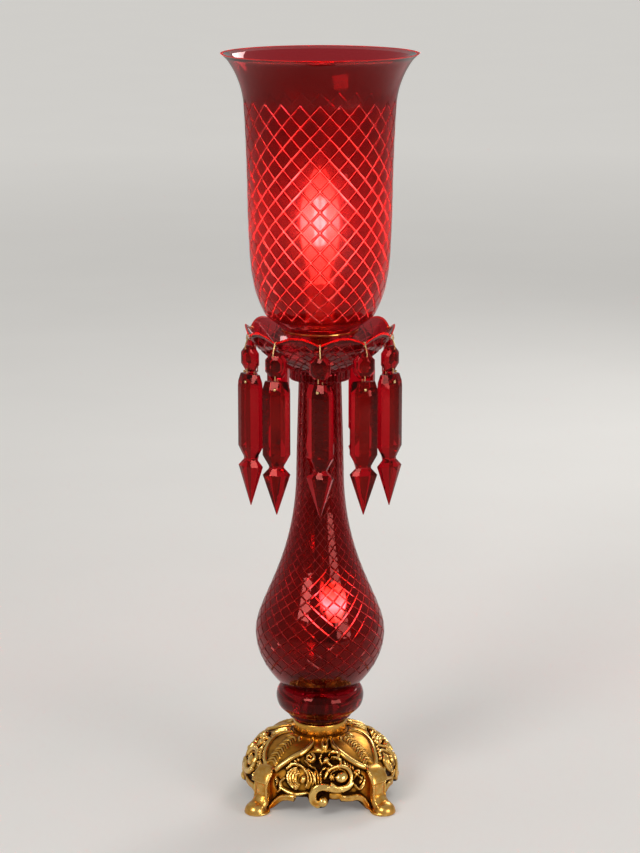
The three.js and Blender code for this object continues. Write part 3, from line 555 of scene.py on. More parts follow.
def stem():
    """The stem: a pear-shaped body with a long neck, its cut diamonds smaller as it narrows."""
    belly = bow((34, 105.1), (46, 115.3), (59, 134.2), (59, 156.1), 16)
    shoulder = bow((59, 156.1), (59, 186.9), (21.4, 220.8), (21.4, 310.1), 32)
    neck = smooth_line([(20.9, 332), (19.9, 365), (18.9, 398.1)], 4)
    wall = np.vstack([belly, shoulder[1:], neck])
    inner = lining(wall, thick=4.3, low=110.5, high=395.0)
    cut_vessel(
        "cut_glass_stem",
        wall,
        [(14.6, 398.1)] + inner + [(29.8, 109.0), (29.4, 105.1)],
        zone=(125.5, 391.0),
        diamond=lambda radius: 7 + 0.1 * radius,
        depth=lambda radius: 0.1 + radius / 78,
        edge=0.1,
        finishes=(ruby_stem, ruby_stem_lit, ruby_ground),
        node="glass_stem",
        body="lamp",
    )


def string_angle(turn):
    """The angle of a place that is counted in strings round the dish, from the one in front."""
    return turn * 2 * np.pi / STRINGS - np.pi / 2


def dish_side(turn, share, side):
    """A point of the dish's wall: turn in strings, share of the way up it, and side -1 to 1."""
    swell = np.sin(np.pi * (turn % 1.0))
    radius, height = 66 + swell, 31 + 6.5 * swell
    root, rim = np.array([DISH_NECK, DISH_FLOOR]), np.stack([radius, DISH_FLOOR + height], -1)
    chord = rim - root
    chord /= np.linalg.norm(chord, axis=-1, keepdims=True)
    handle = (root + rim) / 2 + 6 * np.stack([chord[..., 1], -chord[..., 0]], -1)
    t = np.asarray(share, float)[..., None]
    middle = (1 - t) ** 2 * root + 2 * t * (1 - t) * handle + t * t * rim
    along = 2 * (1 - t) * (handle - root) + 2 * t * (rim - handle)
    along /= np.linalg.norm(along, axis=-1, keepdims=True)
    half = (3.4 - 0.6 * t - 1.8 * t**6) / 2
    across = np.stack([-along[..., 1], along[..., 0]], -1)
    place = middle + np.asarray(side, float)[..., None] * half * across
    return ring_at(place[..., 0], place[..., 1], string_angle(turn))


def dish():
    """The drip dish: ten lobes with cusped notches, a fluted skirt, crossing cuts underneath."""
    lines, levels = 30, 4
    turn, level, cut = crossing_cuts(lines, levels, edge=0.12)
    per_string = lines / STRINGS
    low, high = turn[0] / per_string, turn[-1] / per_string
    under = dish_side(turn / per_string, 0.06 + 0.8 * level / levels, -1 + 0.55 * cut)
    flutes = DISH_NECK - 0.9 * np.abs(np.sin(np.pi * turn[0]))
    skirt = [(BORE, 398.4), (18.9, 398.4), (19.7, 397.9), (19.7, 392.6), (20.2, 392.1)]
    skirt += [(26.8, 392.1), (flutes, 392.8), (flutes, 401.5)]
    foot = [ring_at(radius, height, string_angle(low)) for radius, height in skirt]
    foot.append(dish_side(low, 0.01, -1))
    edge = [(0.9, -1), (0.965, -1), (0.99, -0.7), (1, 0), (0.99, 0.7), (0.965, 1)]
    bowl = [(share, 1) for share in (0.85, 0.7, 0.5, 0.3, 0.12)]
    rim = [dish_side(high, share, side) for share, side in edge + bowl]
    seat = [(22, 403.2), (20, 402.4), (BORE, 402.4)]
    rim += [ring_at(radius, height, string_angle(high)) for radius, height in seat]
    points, marks, faces, upper = netted_wall(foot, under, rim, cut, levels)
    columns = turn.shape[1]
    index = np.zeros(len(faces), np.int32)
    index[upper + columns : upper + (1 + RIM_RINGS) * columns] = 1
    finishes = (ruby_stem, ruby_ground)
    cut_piece("drip_dish_glass", points, marks, faces, finishes, index, "drip_dish", "lamp")


def knop():
    """The knop: a thick, deep red cushion of plain glass with a lip at its foot."""
    foot = [(22.5, 61.8), (22.5, 70.9), (28.2, 74.6), (29.0, 75.6), (29.0, 76.6), (28.9, 77.6)]
    swell = [(29.6, 78.2), (33.6, 80.6), (38.2, 85.6), (40.1, 92.5), (39.6, 98.2), (37.2, 102.6)]
    swell = smooth_line(swell + [(33.0, 104.8)], 5)
    points, faces = turned(np.vstack([foot, swell, [(12.0, 104.8), (12.0, 61.8)]]), 96)
    slot, node = "ruby_glass", "glass_knop"
    new_piece("knop_glass", points, faces, ruby_knop, "lamp", [node], ROUND_SHARP)


# Strings of drops


def string_place(index, twist=0.0):
    """Where a string's own frame stands, +X being the way out, with a small turn of its own."""
    about = Matrix.Translation((LOOP_RADIUS * MM, 0, 0))
    own = about @ Matrix.Rotation(math.radians(twist), 4, "Z") @ about.inverted()
    return Matrix.Rotation(2 * math.pi * index / STRINGS - math.pi / 2, 4, "Z") @ own


def facets(name, rings, ease):
    """A solid with flat faces through rings of points, its edges polished off a little."""
    points, faces = tube_of(rings)
    made = bmesh.new()
    corners = [made.verts.new(p) for p in (points * MM).tolist()]
    for face in faces:
        made.faces.new([corners[i] for i in face])
    bmesh.ops.recalc_face_normals(made, faces=made.faces)
    bmesh.ops.bevel(
        made,
        geom=list(made.edges),
        offset=ease * MM,
        segments=2,
        profile=0.5,
        affect="EDGES",
        clamp_overlap=True,
    )
    mesh = bpy.data.meshes.new(name)
    made.to_mesh(mesh)
    made.free()
    return mesh


def eight_sided(half_width, half_height):
    """The outline of an eight-sided plate, across and up."""
    w, h = half_width * 0.45, half_height * 0.45
    return np.array(
        [(half_width, -h), (half_width, h), (w, half_height), (-w, half_height)]
        + [(-half_width, h), (-half_width, -h), (-w, -half_height), (w, -half_height)]
    )


def bead_mesh():
    """An eight-sided bead, flat in the middle of both faces, with two rows of facets round it."""
    outline = eight_sided(9.7, 11.5)
    middle = np.array([LOOP_RADIUS, 0, BEAD_MIDDLE])
    rings = []
    for out, share in [(-4.5, 0.5), (-3.1, 0.8), (-0.8, 1), (0.8, 1), (3.1, 0.8), (4.5, 0.5)]:
        rings.append(np.column_stack([np.full(8, out), outline * share]) + middle)
    return facets("bead_facets", rings, ease=0.12)


def prism_mesh():
    """A long eight-sided drop: a sloped top, a flat body, a waist, and a spear point."""
    outline = eight_sided(11.9, 6.5)
    point = [(120.5, 0.03, 0.03), (84.0, 1, 0.95), (78.0, 0.55, 0.55), (76.0, 0.55, 0.55)]
    body = [(66.0, 1, 1), (12.0, 1, 1), (7.0, 1, 0.78), (0.0, 0.84, 0.42)]
    rings = []
    for drop, across, through in point + body:
        out, up = LOOP_RADIUS - outline[:, 1] * through, np.full(8, PRISM_TOP - drop)
        rings.append(np.column_stack([out, outline[:, 0] * across, up]))
    return facets("prism_facets", rings, ease=0.22)


def wire_mesh(name, line, head=None):
    """Round wire along a line of (out, up) in a string's frame, with an upset head if given."""
    line = smooth_line(line, 4)
    turn = np.linspace(0, 2 * np.pi, WIRE_SIDES, endpoint=False)
    rings = []
    for (out, up), (dx, dz) in zip(line, directions(line)):
        across = np.column_stack([-dz * np.cos(turn), np.sin(turn), dx * np.cos(turn)])
        rings.append(np.array([out, 0, up]) + WIRE_RADIUS * across)
    points, faces = np.vstack(rings), around(len(rings), WIRE_SIDES)
    last = len(points) - WIRE_SIDES
    faces += [list(range(WIRE_SIDES)), list(range(last, len(points)))[::-1]]
    parts = [(points, faces)]
    if head is not None:
        parts.append(ball(head, (0.8, 1, 1), 14, 9, 1.5))
    return raw_mesh(name, *joined(parts))


def hook_mesh():
    """The wire that hangs a bead: a ring round the dish's rim and a bend through the bead."""
    ring = [math.radians(a) for a in range(290, 0, -36)]
    loop = [(1.86 * math.cos(a), 1.86 * math.sin(a)) for a in ring]
    front = 4.0 + 0.35
    drop = LOOP_HEIGHT - (BEAD_MIDDLE + 8.6)
    bend = WIRE_BEND
    down = [(front, 3 - drop), (front, bend - drop), (front - bend, -drop), (bend - front, -drop)]
    end = [(-front, bend - drop), (-front, 2.6 - drop)]
    return wire_mesh("hook_wire", np.array(loop + down + end) + (LOOP_RADIUS, LOOP_HEIGHT))


def link_mesh():
    """The headed pin from the prism's hole up behind it and through the bead's lower hole."""
    foot = np.array([LOOP_RADIUS, PRISM_TOP - 6.2])
    rise = 405.23 - foot[1]
    back, curl, bend = 5.6, 4.35, WIRE_BEND
    line = [(back, 0), (bend - back, 0), (-back, bend), (-back, rise - bend), (bend - back, rise)]
    line += [(curl - bend, rise), (curl, rise - bend), (curl, rise - 4)]
    head = np.array([foot[0] + back + 0.75, 0, foot[1]])
    return wire_mesh("link_wire", np.array(line) + foot, head)


def strings():
    """Ten strings of a hook, a bead, a pin and a prism, each a little turned on its own."""
    bead, prism, hook, link = bead_mesh(), prism_mesh(), hook_mesh(), link_mesh()
    for index, twist in enumerate((-22, -24, -34, -14, 16, -8, 12, 20, 34, 24)):
        number = f"_{index + 1:02d}"
        upper, lower = "upper_string" + number, "lower_string" + number
        square, twisted = string_place(index), string_place(index, twist)
        for name, mesh, body, node, place in (
            ("hook", hook, upper, "hook_pin", square),
            ("cut_bead", bead, upper, "bead", twisted),
            ("link", link, lower, "link_pin", twisted),
            ("cut_prism", prism, lower, "prism", twisted),
        ):
            wire = mesh in (hook, link)
            finish, slot = (brass_wire, "brass_wire") if wire else (ruby_solid, "ruby_glass")
            sharp = ROUND_SHARP if wire else FACET_SHARP
            dress(name + number, mesh, finish, body, [node + number], sharp, place)


# The cast base


def rib(where, line, widths, height, flat=1.0):
    """A rounded rib along a line of (across, down) points, its half width going along `widths`. A
    larger `flat` gives it a flatter top."""
    across, down = where
    line = smooth_line(line, 5)
    wide = np.interp(np.linspace(0, 1, len(line)), np.linspace(0, 1, len(widths)), widths)
    best = np.full(across.shape, -1.0)
    for p, q, w, v in zip(line[:-1], line[1:], wide[:-1], wide[1:]):
        way = q - p
        t = np.clip(((across - p[0]) * way[0] + (down - p[1]) * way[1]) / (way @ way + 1e-9), 0, 1)
        gap = np.hypot(across - p[0] - t * way[0], down - p[1] - t * way[1])
        best = np.maximum(best, 1 - (gap / (w + (v - w) * t)) ** 2)
    return height * np.sqrt(np.clip(flat * best, 0, 1))


def boss(where, middle, size, height, turn=0.0):
    """An oval swelling; a height below nothing sinks an oval hollow."""
    across, down = where[0] - middle[0], where[1] - middle[1]
    c, s = math.cos(math.radians(turn)), math.sin(math.radians(turn))
    inside = 1 - ((across * c + down * s) / size[0]) ** 2 - ((down * c - across * s) / size[1]) ** 2
    return height * np.sqrt(np.clip(inside, 0, 1))


def oval_line(middle, size, start, stop, turn=0.0, steps=9):
    """Points along part of an oval, angles in degrees from across towards down."""
    a = np.radians(np.linspace(start, stop, steps))
    c, s = math.cos(math.radians(turn)), math.sin(math.radians(turn))
    u, v = size[0] * np.cos(a), size[1] * np.sin(a)
    return np.column_stack([middle[0] + u * c - v * s, middle[1] + u * s + v * c])


def curl_line(middle, radius, start, turns):
    """A volute's line, winding in from its rim; turns below nothing wind the other way."""
    t = np.linspace(0, 1, 15)
    a = math.radians(start) + 2 * np.pi * turns * t
    r = radius * (1 - 0.78 * t)
    return np.column_stack([middle[0] + r * np.cos(a), middle[1] + r * np.sin(a)])


def relief(across, down):
    """How far the ornament of one side stands out of the dome, and how deep its hollows lie, in
    millimetres."""
    where = (across, down)
    out, sunk = [np.zeros(across.shape)], [np.zeros(across.shape)]

    def ribs(*rows):
        """Raises ribs, each from its line, its half widths and its height."""
        out.extend(rib(where, *row) for row in rows)

    def bosses(*rows):
        """Raises ovals, each from its middle, size and height; a negative height sinks one."""
        for row in rows:
            (out if row[2] > 0 else sunk).append(boss(where, *row))

    # Straps to the corners: a smooth band inside a strong ridge, a fine one beside it, and a petal
    left = [(-6.4, 0), (-7.2, 10), (-10.6, 17), (-17, 24), (-23.3, 28.8), (-30, 34)]
    left += [(-36.5, 39.6), (-44, 46)]
    right = [(9.6, 0), (11.5, 12), (14.6, 18.4), (20.3, 25.5), (26.7, 31.7), (33.3, 37)]
    right += [(40.3, 41.6), (48, 45.5)]
    corner_at = (0, 10, 20, 30, 40, 50), (20.4, 28.2, 35.3, 41.9, 47.6, 52)
    for side, ridge in ((-1, np.array(left)), (1, np.array(right))):
        edge = np.interp(down, ridge[:, 1], side * ridge[:, 0])
        band = np.clip((side * across - edge) / 2.5, 0, 1) * np.clip((47 - down) / 4, 0, 1)
        out.append(1.2 * band)
        ribs((ridge, (1.7, 2.1, 2.5, 2.3, 2.0), 3.1))
        bosses(((side * 14.5, 9), (2.6, 8), -1.6, -12 * side))
        bosses(((side * 19, 6), (2.7, 5.5), 2.9, -14 * side))
        for k in range(12):
            low = 9 + 2.9 * k
            tip = side * np.interp(low, *corner_at)
            leaf = [(tip, low - 2.2), (tip - side * 2.2, low - 0.6), (tip - side * 3.6, low + 1.8)]
            ribs((leaf, (1.0, 1.3, 0.6), 3.0 - 0.5 * (k % 2)))

    # Between the straps: a plain tab with a scroll on it, and a sunk hollow with a row of pearls,
    # which the brass's painted shade darkens
    bosses(
        ((1, 8.5), (8.4, 11.5), 1.8),
        ((-2.5, 28), (9.5, 8.4), -3.4),
        ((7, 27.5), (9.5, 8), -3.2),
        ((0, 37.5), (10, 6.4), -3.3),
        ((13.2, 33.4), (5, 3.8), -2.6),
        ((5.2, 30.8), (2.0, 3.6), 3.0, 24),
    )
    for pearl in ((1, 25.2), (-0.2, 28.2), (0.4, 31.2), (1.6, 34.1)):
        bosses((pearl, (1.35, 1.35), 1.5))
    tab_scroll = [(3.1, 4), (2.2, 12), (3.5, 16.3), (5.9, 15.4), (6.3, 8.8), (7.8, 5)]
    hook = [(8.4, 24.8), (10.2, 23.2), (13.9, 22.7), (17.4, 25.4), (17, 28.2)]
    ribs(
        (tab_scroll, (1.0, 1.4, 1.0), 3.4),
        ([(-14, 32), (-8.6, 37.6), (-4.6, 39.6), (-2.4, 43.6)], (0.7, 1.2, 0.8), 2.7),
        ([(10, 39.6), (5.4, 39.4), (2.6, 40.6), (0.6, 44)], (0.7, 1.2, 0.8), 2.7),
        (curl_line((-9.4, 28.6), 4.6, -60, 1.15), (1.7, 1.3, 1.0), 3.0),
        (hook, (0.9, 1.5, 1.7), 3.0),
        (oval_line((13.4, 33.4), (6.4, 4.6), -130, 190, 22, 14), (1.1, 1.4, 1.0), 2.4),
    )

    # Left cartouche: arcs like a shell's round a smooth leaf
    for k, size in enumerate(((13.6, 10.6), (11.0, 9.2), (8.4, 7.6), (5.9, 5.8))):
        ribs((oval_line((-17, 50.5), size, 112, 248), (0.7, 1.15, 0.7), 3.4 - 0.15 * k))
    for k in range(3):
        ribs((oval_line((-16, 50), (5.2 + 2.7 * k, 8.6 + k), -62, 58), (0.6, 1.05, 0.6), 3.0))
    brow = [(-31, 43), (-27.5, 38.6), (-22, 36.8), (-16.5, 38.6), (-13.8, 42)]
    ribs((brow, (0.8, 1.7, 0.8), 3.0))
    bosses(
        ((-18, 50), (14.5, 12), 1.3),
        ((-15.4, 50.4), (2.5, 4.4), 3.9, 20),
        ((-21.2, 41), (3.4, 2.2), -2.4),
    )

    # Middle: upright ribs, and the right cartouche, a ring open to the left, a rosette and a boss
    for k in range(3):
        ribs(([(-4.9 + 2.5 * k, 42.5), (-3.8 + 2.4 * k, 55)], (0.6, 1.0, 0.7), 2.7))
    ring = [(4.6, 48.8), (8, 41.8), (17.4, 38.4), (26, 42.3), (29.6, 50.4), (25.4, 57)]
    ring += [(17.1, 58.6), (10.4, 54)]
    inner = [(8.6, 49), (11, 43.6), (17.4, 41.4), (23.6, 44.2), (26.2, 50)]
    ribs((ring, (1.3, 1.9, 2.1, 2.0, 1.4), 3.5), (inner, (0.5, 0.8, 0.5), 2.2))
    bosses(
        ((17, 49), (13.6, 9.6), -1.6),
        ((20.4, 49.2), (6.2, 5.4), 3.6),
        ((11.6, 48.4), (1.5, 1.5), 2.9),
    )
    for k in range(6):
        a = math.radians(60 * k)
        bosses(((11.6 + 2.5 * math.cos(a), 48.4 + 2.5 * math.sin(a)), (1.1, 1.1), 2.1))

    # The hanging volute: a broad band with a bright inner line that winds in to a ball
    volute = [(30.5, 55.5), (26, 58.6), (18, 59.8), (10, 58.6), (2.4, 57), (-3.4, 58.8)]
    volute += [(-6.7, 64.4), (-6.1, 70.3), (-2.2, 73.6)]
    bright_line = [(9, 57.2), (2.8, 58.4), (-2, 60.4), (-4.2, 65), (-3, 69.9)]
    ribs((volute, (1.6, 3.3, 3.4, 3.7, 3.9, 3.6), 3.7, 2.2), (bright_line, (0.5, 0.8, 0.8), 4.5))
    bosses(
        ((0.6, 64), (4, 4.6), -2.0),
        ((2.6, 71.2), (5, 5), 5.0),
        ((14.5, 65.6), (7.4, 4.2), 2.6, 3),
    )

    # Apron bands down to the feet, each with a fine line on it, and the panel over the left one
    low_left = [(-23.9, 69.6), (-30.2, 69.4), (-36, 70.6), (-41, 74), (-45.8, 79), (-50.3, 85)]
    low_right = [(20.6, 68.6), (28, 69.9), (36.5, 70.2), (42.8, 74.6), (48.2, 83)]
    for line in (low_left, low_right):
        fine = np.array(line) + (0, -2.2)
        ribs((line, (3.1, 3.1, 2.9, 2.8), 2.6, 2.0), (fine, (0.8, 0.9, 0.8), 3.5))
    ribs(([(-38, 61.2), (-30, 64.2), (-22.5, 65.2), (-11.5, 62.6)], (1.3, 2.1, 2.1, 1.2), 2.4))

    # Towards the cuffs: small scrolls, a forked leaf, berries, and sunk hollows between them, which
    # the brass's painted shade darkens
    bosses(((39, 55), (6, 6), -2.6), ((-42, 58), (4.4, 6.6), -2.6))
    for berry in ((-20.5, 32), (-23.3, 34.2), (-26.6, 37), (-28.4, 40), (-31.4, 42.4)):
        bosses((berry, (1.5, 1.5), 3.1))
    fork = [(33.7, 57.4), (36.4, 61.4), (39.2, 62.7), (42.6, 59.6), (44.6, 55)]
    ribs(
        (curl_line((36, 47.6), 3.2, 200, 1.0), (1.1, 0.9, 0.7), 2.6),
        (fork, (0.7, 1.4, 0.7), 2.5),
        ([(38.6, 51), (41, 53.6), (39.6, 57.4)], (0.7, 1.3, 0.6), 2.3),
        ([(-34, 51.5), (-38.6, 56.6), (-38.6, 63), (-42, 66.4)], (0.7, 1.3, 0.8), 2.5),
        ([(-44.6, 53.6), (-42, 57), (-43.2, 62)], (0.6, 1.1, 0.6), 2.3),
    )
    for k in range(4):
        spine = [(22.4 + 2.9 * k, 33.6 + 2.2 * k), (23.8 + 2.7 * k, 38.6 + 1.5 * k)]
        ribs((spine, (0.6, 1.1, 0.6), 2.6))

    return np.maximum.reduce(out), np.minimum.reduce(sunk)


def blurred(field, passes):
    """A field smoothed along both its ways; it joins up with itself round the base."""
    for _ in range(passes):
        field = (np.roll(field, 1, 1) + np.roll(field, -1, 1) + 2 * field) / 4
        edge = np.vstack([field[:1], field, field[-1:]])
        field = (edge[:-2] + edge[2:] + 2 * field) / 4
    return field


def cast_dome():
    """The pierced-looking dome of the base, its ornament raised and sunk in one casting."""
    per_side, rows = 176, 132
    curve = bow((26, 59.2), (49.14, 58.2), (DOME_RADIUS, 44.32), (DOME_RADIUS, DOME_FOOT), 60)
    curve = np.vstack([curve, [(DOME_RADIUS, DOME_FOOT - 1.5 * k) for k in range(1, 16)]])
    way = travelled(curve)
    turn = np.linspace(-45, 45, per_side, endpoint=False)[None]
    edge_across = [-55.4, -50.5, -45.6, -40, -36, -30, -24.6, -23.6, -12, -9.4, -7, -3.5, 0.5]
    edge_height = [1.2, 1.2, 5.0, 10.0, 12.4, 13.8, 13.4, 18.4, 19, 15.0, 11.2, 9.2, 8.8]
    edge_across += [4.5, 7.4, 8.6, 14, 18.6, 19.6, 28, 34, 38, 43.6, 48.4, 55.4]
    edge_height += [9.6, 13, 17.0, 16.4, 17.0, 13.8, 13.0, 12.8, 11.4, 6.2, 1.2, 1.2]
    foot = np.interp(DOME_RADIUS * np.radians(turn), edge_across, edge_height)
    edge = np.interp(DOME_FOOT, curve[::-1, 1], way[::-1]) + DOME_FOOT - foot
    down = np.linspace(0, 1, rows)[:, None] * edge
    radius, height = (np.interp(down, way, side) for side in curve.T)
    raised, sunk = relief(radius * np.radians(turn), down)
    out = np.where(raised > 0.15, raised, sunk) * np.clip(down / 2.5, 0, 1)
    out = out - 1.8 * np.clip((down - 6) / 30, 0, 1)
    slope_r, slope_z = (
        np.interp(down + 0.5, way, side) - np.interp(down - 0.5, way, side) for side in curve.T
    )
    size = np.hypot(slope_r, slope_z)
    out, radius, height, slope_r, slope_z, size = (
        np.hstack([field] * 4) for field in (out, radius, height, slope_r, slope_z, size)
    )
    smooth = blurred(out, 1)
    # The hollow mark below drives the brass's painted shade, with its patina, in recesses and sunk
    # pits, and its painted highlight on raised ridges.
    pit = np.clip(-blurred(out, 3) - 2.0, 0, 3)
    near, far = blurred(out, 10) - smooth, blurred(out, 60) - smooth
    hollow = np.clip(0.52 + 0.3 * near + 0.26 * far + 0.11 * pit, 0, 1)
    angle = np.radians(np.hstack([turn[0] + 90 * k for k in range(4)]) - 90)
    radius = radius + smooth * -slope_z / size
    height = height + smooth * slope_r / size
    rings = ring_at(radius, height, np.broadcast_to(angle, radius.shape))[::-1]
    inside = [(25.0, 59.2), (BORE, 59.2), (BORE, 54.2), (36, 54.2), (44, 50.5), (51.5, 46)]
    inside += [(57.5, 40.5), (61.5, 34), (63.8, 27), (65, 22)]
    plain = [ring_at(reach, up, angle) for reach, up in inside]
    points = [ring_at(65.3, height[-1], angle), *rings, *plain]
    marks = np.full((len(points), len(angle)), 0.55)
    marks[1 : rows + 1] = hollow[::-1]
    faces = around(len(points), len(angle), True)
    points, marks = np.reshape(points, (-1, 3)), {"hollow": marks}
    slot, node = "cast_brass", "cast_base"
    new_piece("cast_dome", points, faces, brass_cast, "lamp", [node], CAST_SHARP, marks)


def sweep(line, sizes, sides, lift=0.0):
    """A rounded bar along a line of (out, up), with half its width and half its thickness at each
    point, set aside by `lift`."""
    line = smooth_line(line, 5)
    sizes = np.array(sizes, float)
    share, at = np.linspace(0, 1, len(line)), np.linspace(0, 1, len(sizes))
    wide, thick = (np.interp(share, at, size) for size in sizes.T)
    turn = np.linspace(0, 2 * np.pi, sides, endpoint=False)
    rings = []
    for (out, up), (dx, dz), w, t in zip(line, directions(line), wide, thick):
        bar = [dz * t * np.cos(turn), w * np.sin(turn) + lift, -dx * t * np.cos(turn)]
        rings.append(np.array([out, 0, up]) + np.column_stack(bar))
    return tube_of(rings)


def foot_mesh():
    """One foot in its own frame, +X being the way out: a smooth cuff at the knee, a rounded leg
    between fine rims, and a toe with a row of pearls on a sole, all run together as in casting."""
    leg = [(67, 38), (71.5, 33), (73.4, 27), (73.0, 20), (73.2, 14.5), (76.0, 9.8), (80.5, 6.0)]
    girth = [(7.0, 2.8), (7.3, 4.2), (7.3, 5.0), (7.3, 5.3), (7.8, 5.5), (8.6, 5.6), (9.0, 5.0)]
    rim = [(69, 36.5), (73.6, 30), (75.8, 24), (75.8, 17), (77.2, 11.5), (81, 8.4)]
    rim_size = [(1.0, 1.5), (1.0, 1.6), (1.0, 1.5), (0.8, 0.9)]
    cuff = [(65.6, 41.0), (69.4, 39.8), (73.2, 36.8), (76.2, 32.6), (78.2, 28.2)]
    cuff_size = [(7.8, 1.2), (8.6, 1.7), (9.2, 1.9), (9.6, 2.0), (9.8, 1.8)]
    toe, toe_faces = ball((82.6, 0, 2.6), (10.0, 10.2, 8.6))
    toe[:, 2] = np.maximum(toe[:, 2], 1.0)
    parts = [sweep(leg, girth, 28), (toe, toe_faces)]
    for turn in (-70, -35, 0, 35, 70):
        c, s = math.cos(math.radians(turn)), math.sin(math.radians(turn))
        parts.append(ball((84.4 - 7.6 * c, 8.4 * s, 10.6 - 3.2 * abs(s)), (1.2, 1.2, 1.2)))
    for side in (-1, 1):
        parts.append(sweep(rim, rim_size, 12, side * 7.2))
    around_toe = np.linspace(0, 2 * np.pi, 40, endpoint=False)
    sole = [(10.6, 0.02), (11.7, 0.7), (11.9, 1.9), (11.0, 2.9)]
    parts.append(tube_of([ring_at(size, up, around_toe) + (80.6, 0, 0) for size, up in sole]))
    parts.append(sweep(cuff, cuff_size, 24))
    holder = bpy.data.objects.new("foot_rough", raw_mesh("foot_rough", *joined(parts)))
    bpy.context.scene.collection.objects.link(holder)
    remesh = holder.modifiers.new("run_together", "REMESH")
    remesh.mode = "VOXEL"
    remesh.voxel_size = VOXEL * MM
    smooth = holder.modifiers.new("soften", "SMOOTH")
    smooth.iterations = 2
    graph = bpy.context.evaluated_depsgraph_get()
    mesh = bpy.data.meshes.new_from_object(holder.evaluated_get(graph))
    bpy.data.objects.remove(holder)
    mark_hollows(mesh)
    return mesh


def mark_hollows(mesh):
    """Marks how hollow each point of a mesh lies, from its neighbours."""
    count = len(mesh.vertices)
    place, normal = np.zeros(count * 3), np.zeros(count * 3)
    mesh.vertices.foreach_get("co", place)
    mesh.vertices.foreach_get("normal", normal)
    place, normal = place.reshape(-1, 3), normal.reshape(-1, 3)
    ends = np.zeros(len(mesh.edges) * 2, np.int64)
    mesh.edges.foreach_get("vertices", ends)
    ends = ends.reshape(-1, 2)
    near = np.bincount(ends.ravel(), minlength=count)[:, None]
    spread = place.copy()
    for _ in range(14):
        total = np.zeros_like(spread)
        np.add.at(total, ends[:, 0], spread[ends[:, 1]])
        np.add.at(total, ends[:, 1], spread[ends[:, 0]])
        spread = (spread + total / near) / 2
    depth = ((spread - place) * normal).sum(1) / MM
    # This mark gives the feet's brass its painted shade, with patina, in hollows and its painted
    # highlight on convex ridges.
    attribute = mesh.attributes.new("hollow", "FLOAT", "POINT")
    attribute.data.foreach_set("value", np.clip(0.38 + 0.55 * depth, 0, 1).astype(np.float32))


def feet():
    """The four feet."""
    mesh = foot_mesh()
    for index, name in enumerate(("front_right", "back_right", "back_left", "front_left")):
        place = Matrix.Rotation(math.radians(90 * index - 45), 4, "Z")
        dress("cast_foot_" + name, mesh, brass_cast, "lamp", [], CAST_SHARP, place)


# Brass, the candle and the hardware


def brass():
    """The turned brass on the tube and the candle's sleeve, from the base upwards."""
    collar = [(BORE, 59.5), (24.2, 59.5), (24.5, 60.4), (24.5, 69.6), (24.0, 70.6), (22.9, 70.6)]
    collar += [(22.9, 61.5), (BORE, 61.5)]
    slot = "polished_brass"
    turned_piece("brass_collar", "collar_ring", collar, brass_satin, slot, sides=96)
    gallery = [(BORE, 402.7), (15, 402.7), (15, 404.2), (13.6, 405.7), (10.4, 406.6), (8.6, 409.2)]
    gallery += [(8.2, 414), (10.2, 418.4), (10.2, 419.6), (8.2, 423.4), (8.8, 428.6), (12.0, 431.6)]
    gallery += [(19, 433.6), (30, 435.0), (34.5, 435.0), (34.5, 437.5), (27.3, 437.5)]
    gallery += [(27.3, 441.0), (25.9, 441.0), (25.9, 437.5), (BORE, 437.5)]
    turned_piece("shade_gallery", "gallery", gallery, brass_polished, slot, ease=0.6)
    pan = [(BORE, 437.8), (15, 437.8), (17, 440.8), (16, 442.3), (14.5, 439.3), (BORE, 439.3)]
    turned_piece("drip_disc", "drip_pan", pan, brass_polished, slot, ease=0.4)
    tube = [(11.0, 439.6), (12.5, 439.6), (12.5, 479.6), (11.0, 479.6)]
    turned_piece("candle_sleeve", "candle_tube", tube, cream_card, "cream_plastic")


def candle():
    """The candle bulb with its filament sticks and its screwed cap."""
    low = smooth_line([(7, 478.3), (8.6, 486), (12.6, 500), (16.4, 516), (17.5, 530)], 6)
    high = [(17.5, 530), (16.2, 547), (12.2, 562), (7.0, 574.5), (3.4, 580.2), (AXIS, 582)]
    section = np.vstack([[(AXIS, 478.2)], low, smooth_line(high, 6)[1:]])
    points, faces = turned(section, 48)
    new_piece("candle_bulb", points, faces, bulb_lit, "bulb", ["bulb_glass"], ROUND_SHARP)
    turn = np.linspace(0, 2 * np.pi, 10, endpoint=False)
    (foot, low), (top, high) = (3.8, 512), (4.4, 554)
    sticks = []
    for k in range(6):
        a = 2 * np.pi * k / 6
        rings = []
        for t in np.linspace(0, 1, 8):
            out, up = foot + (top - foot) * t, low + (high - low) * t
            rings.append(ring_at(0.9, up, turn) + (out * math.cos(a), out * math.sin(a), 0))
        sticks.append(tube_of(rings))
    points, faces = joined(sticks)
    new_piece("candle_filaments", points, faces, filament_lit, "bulb", [], ROUND_SHARP)
    cap = [(AXIS, 452.7), (3.2, 452.7), (3.4, 454.2), (6.2, 456.2)]
    for k in range(6):
        rise = 3.2 * k
        cap += [(6.9, 457.6 + rise), (6.9, 458.6 + rise), (6.3, 459.4 + rise), (6.3, 460.2 + rise)]
    cap += [(6.9, 477.0), (6.7, 477.7), (AXIS, 477.7)]
    name, slot = "bulb_screw_cap", "polished_brass"
    turned_piece("bulb_cap", name, cap, brass_polished, slot, "bulb", ease=0.2, sides=40)


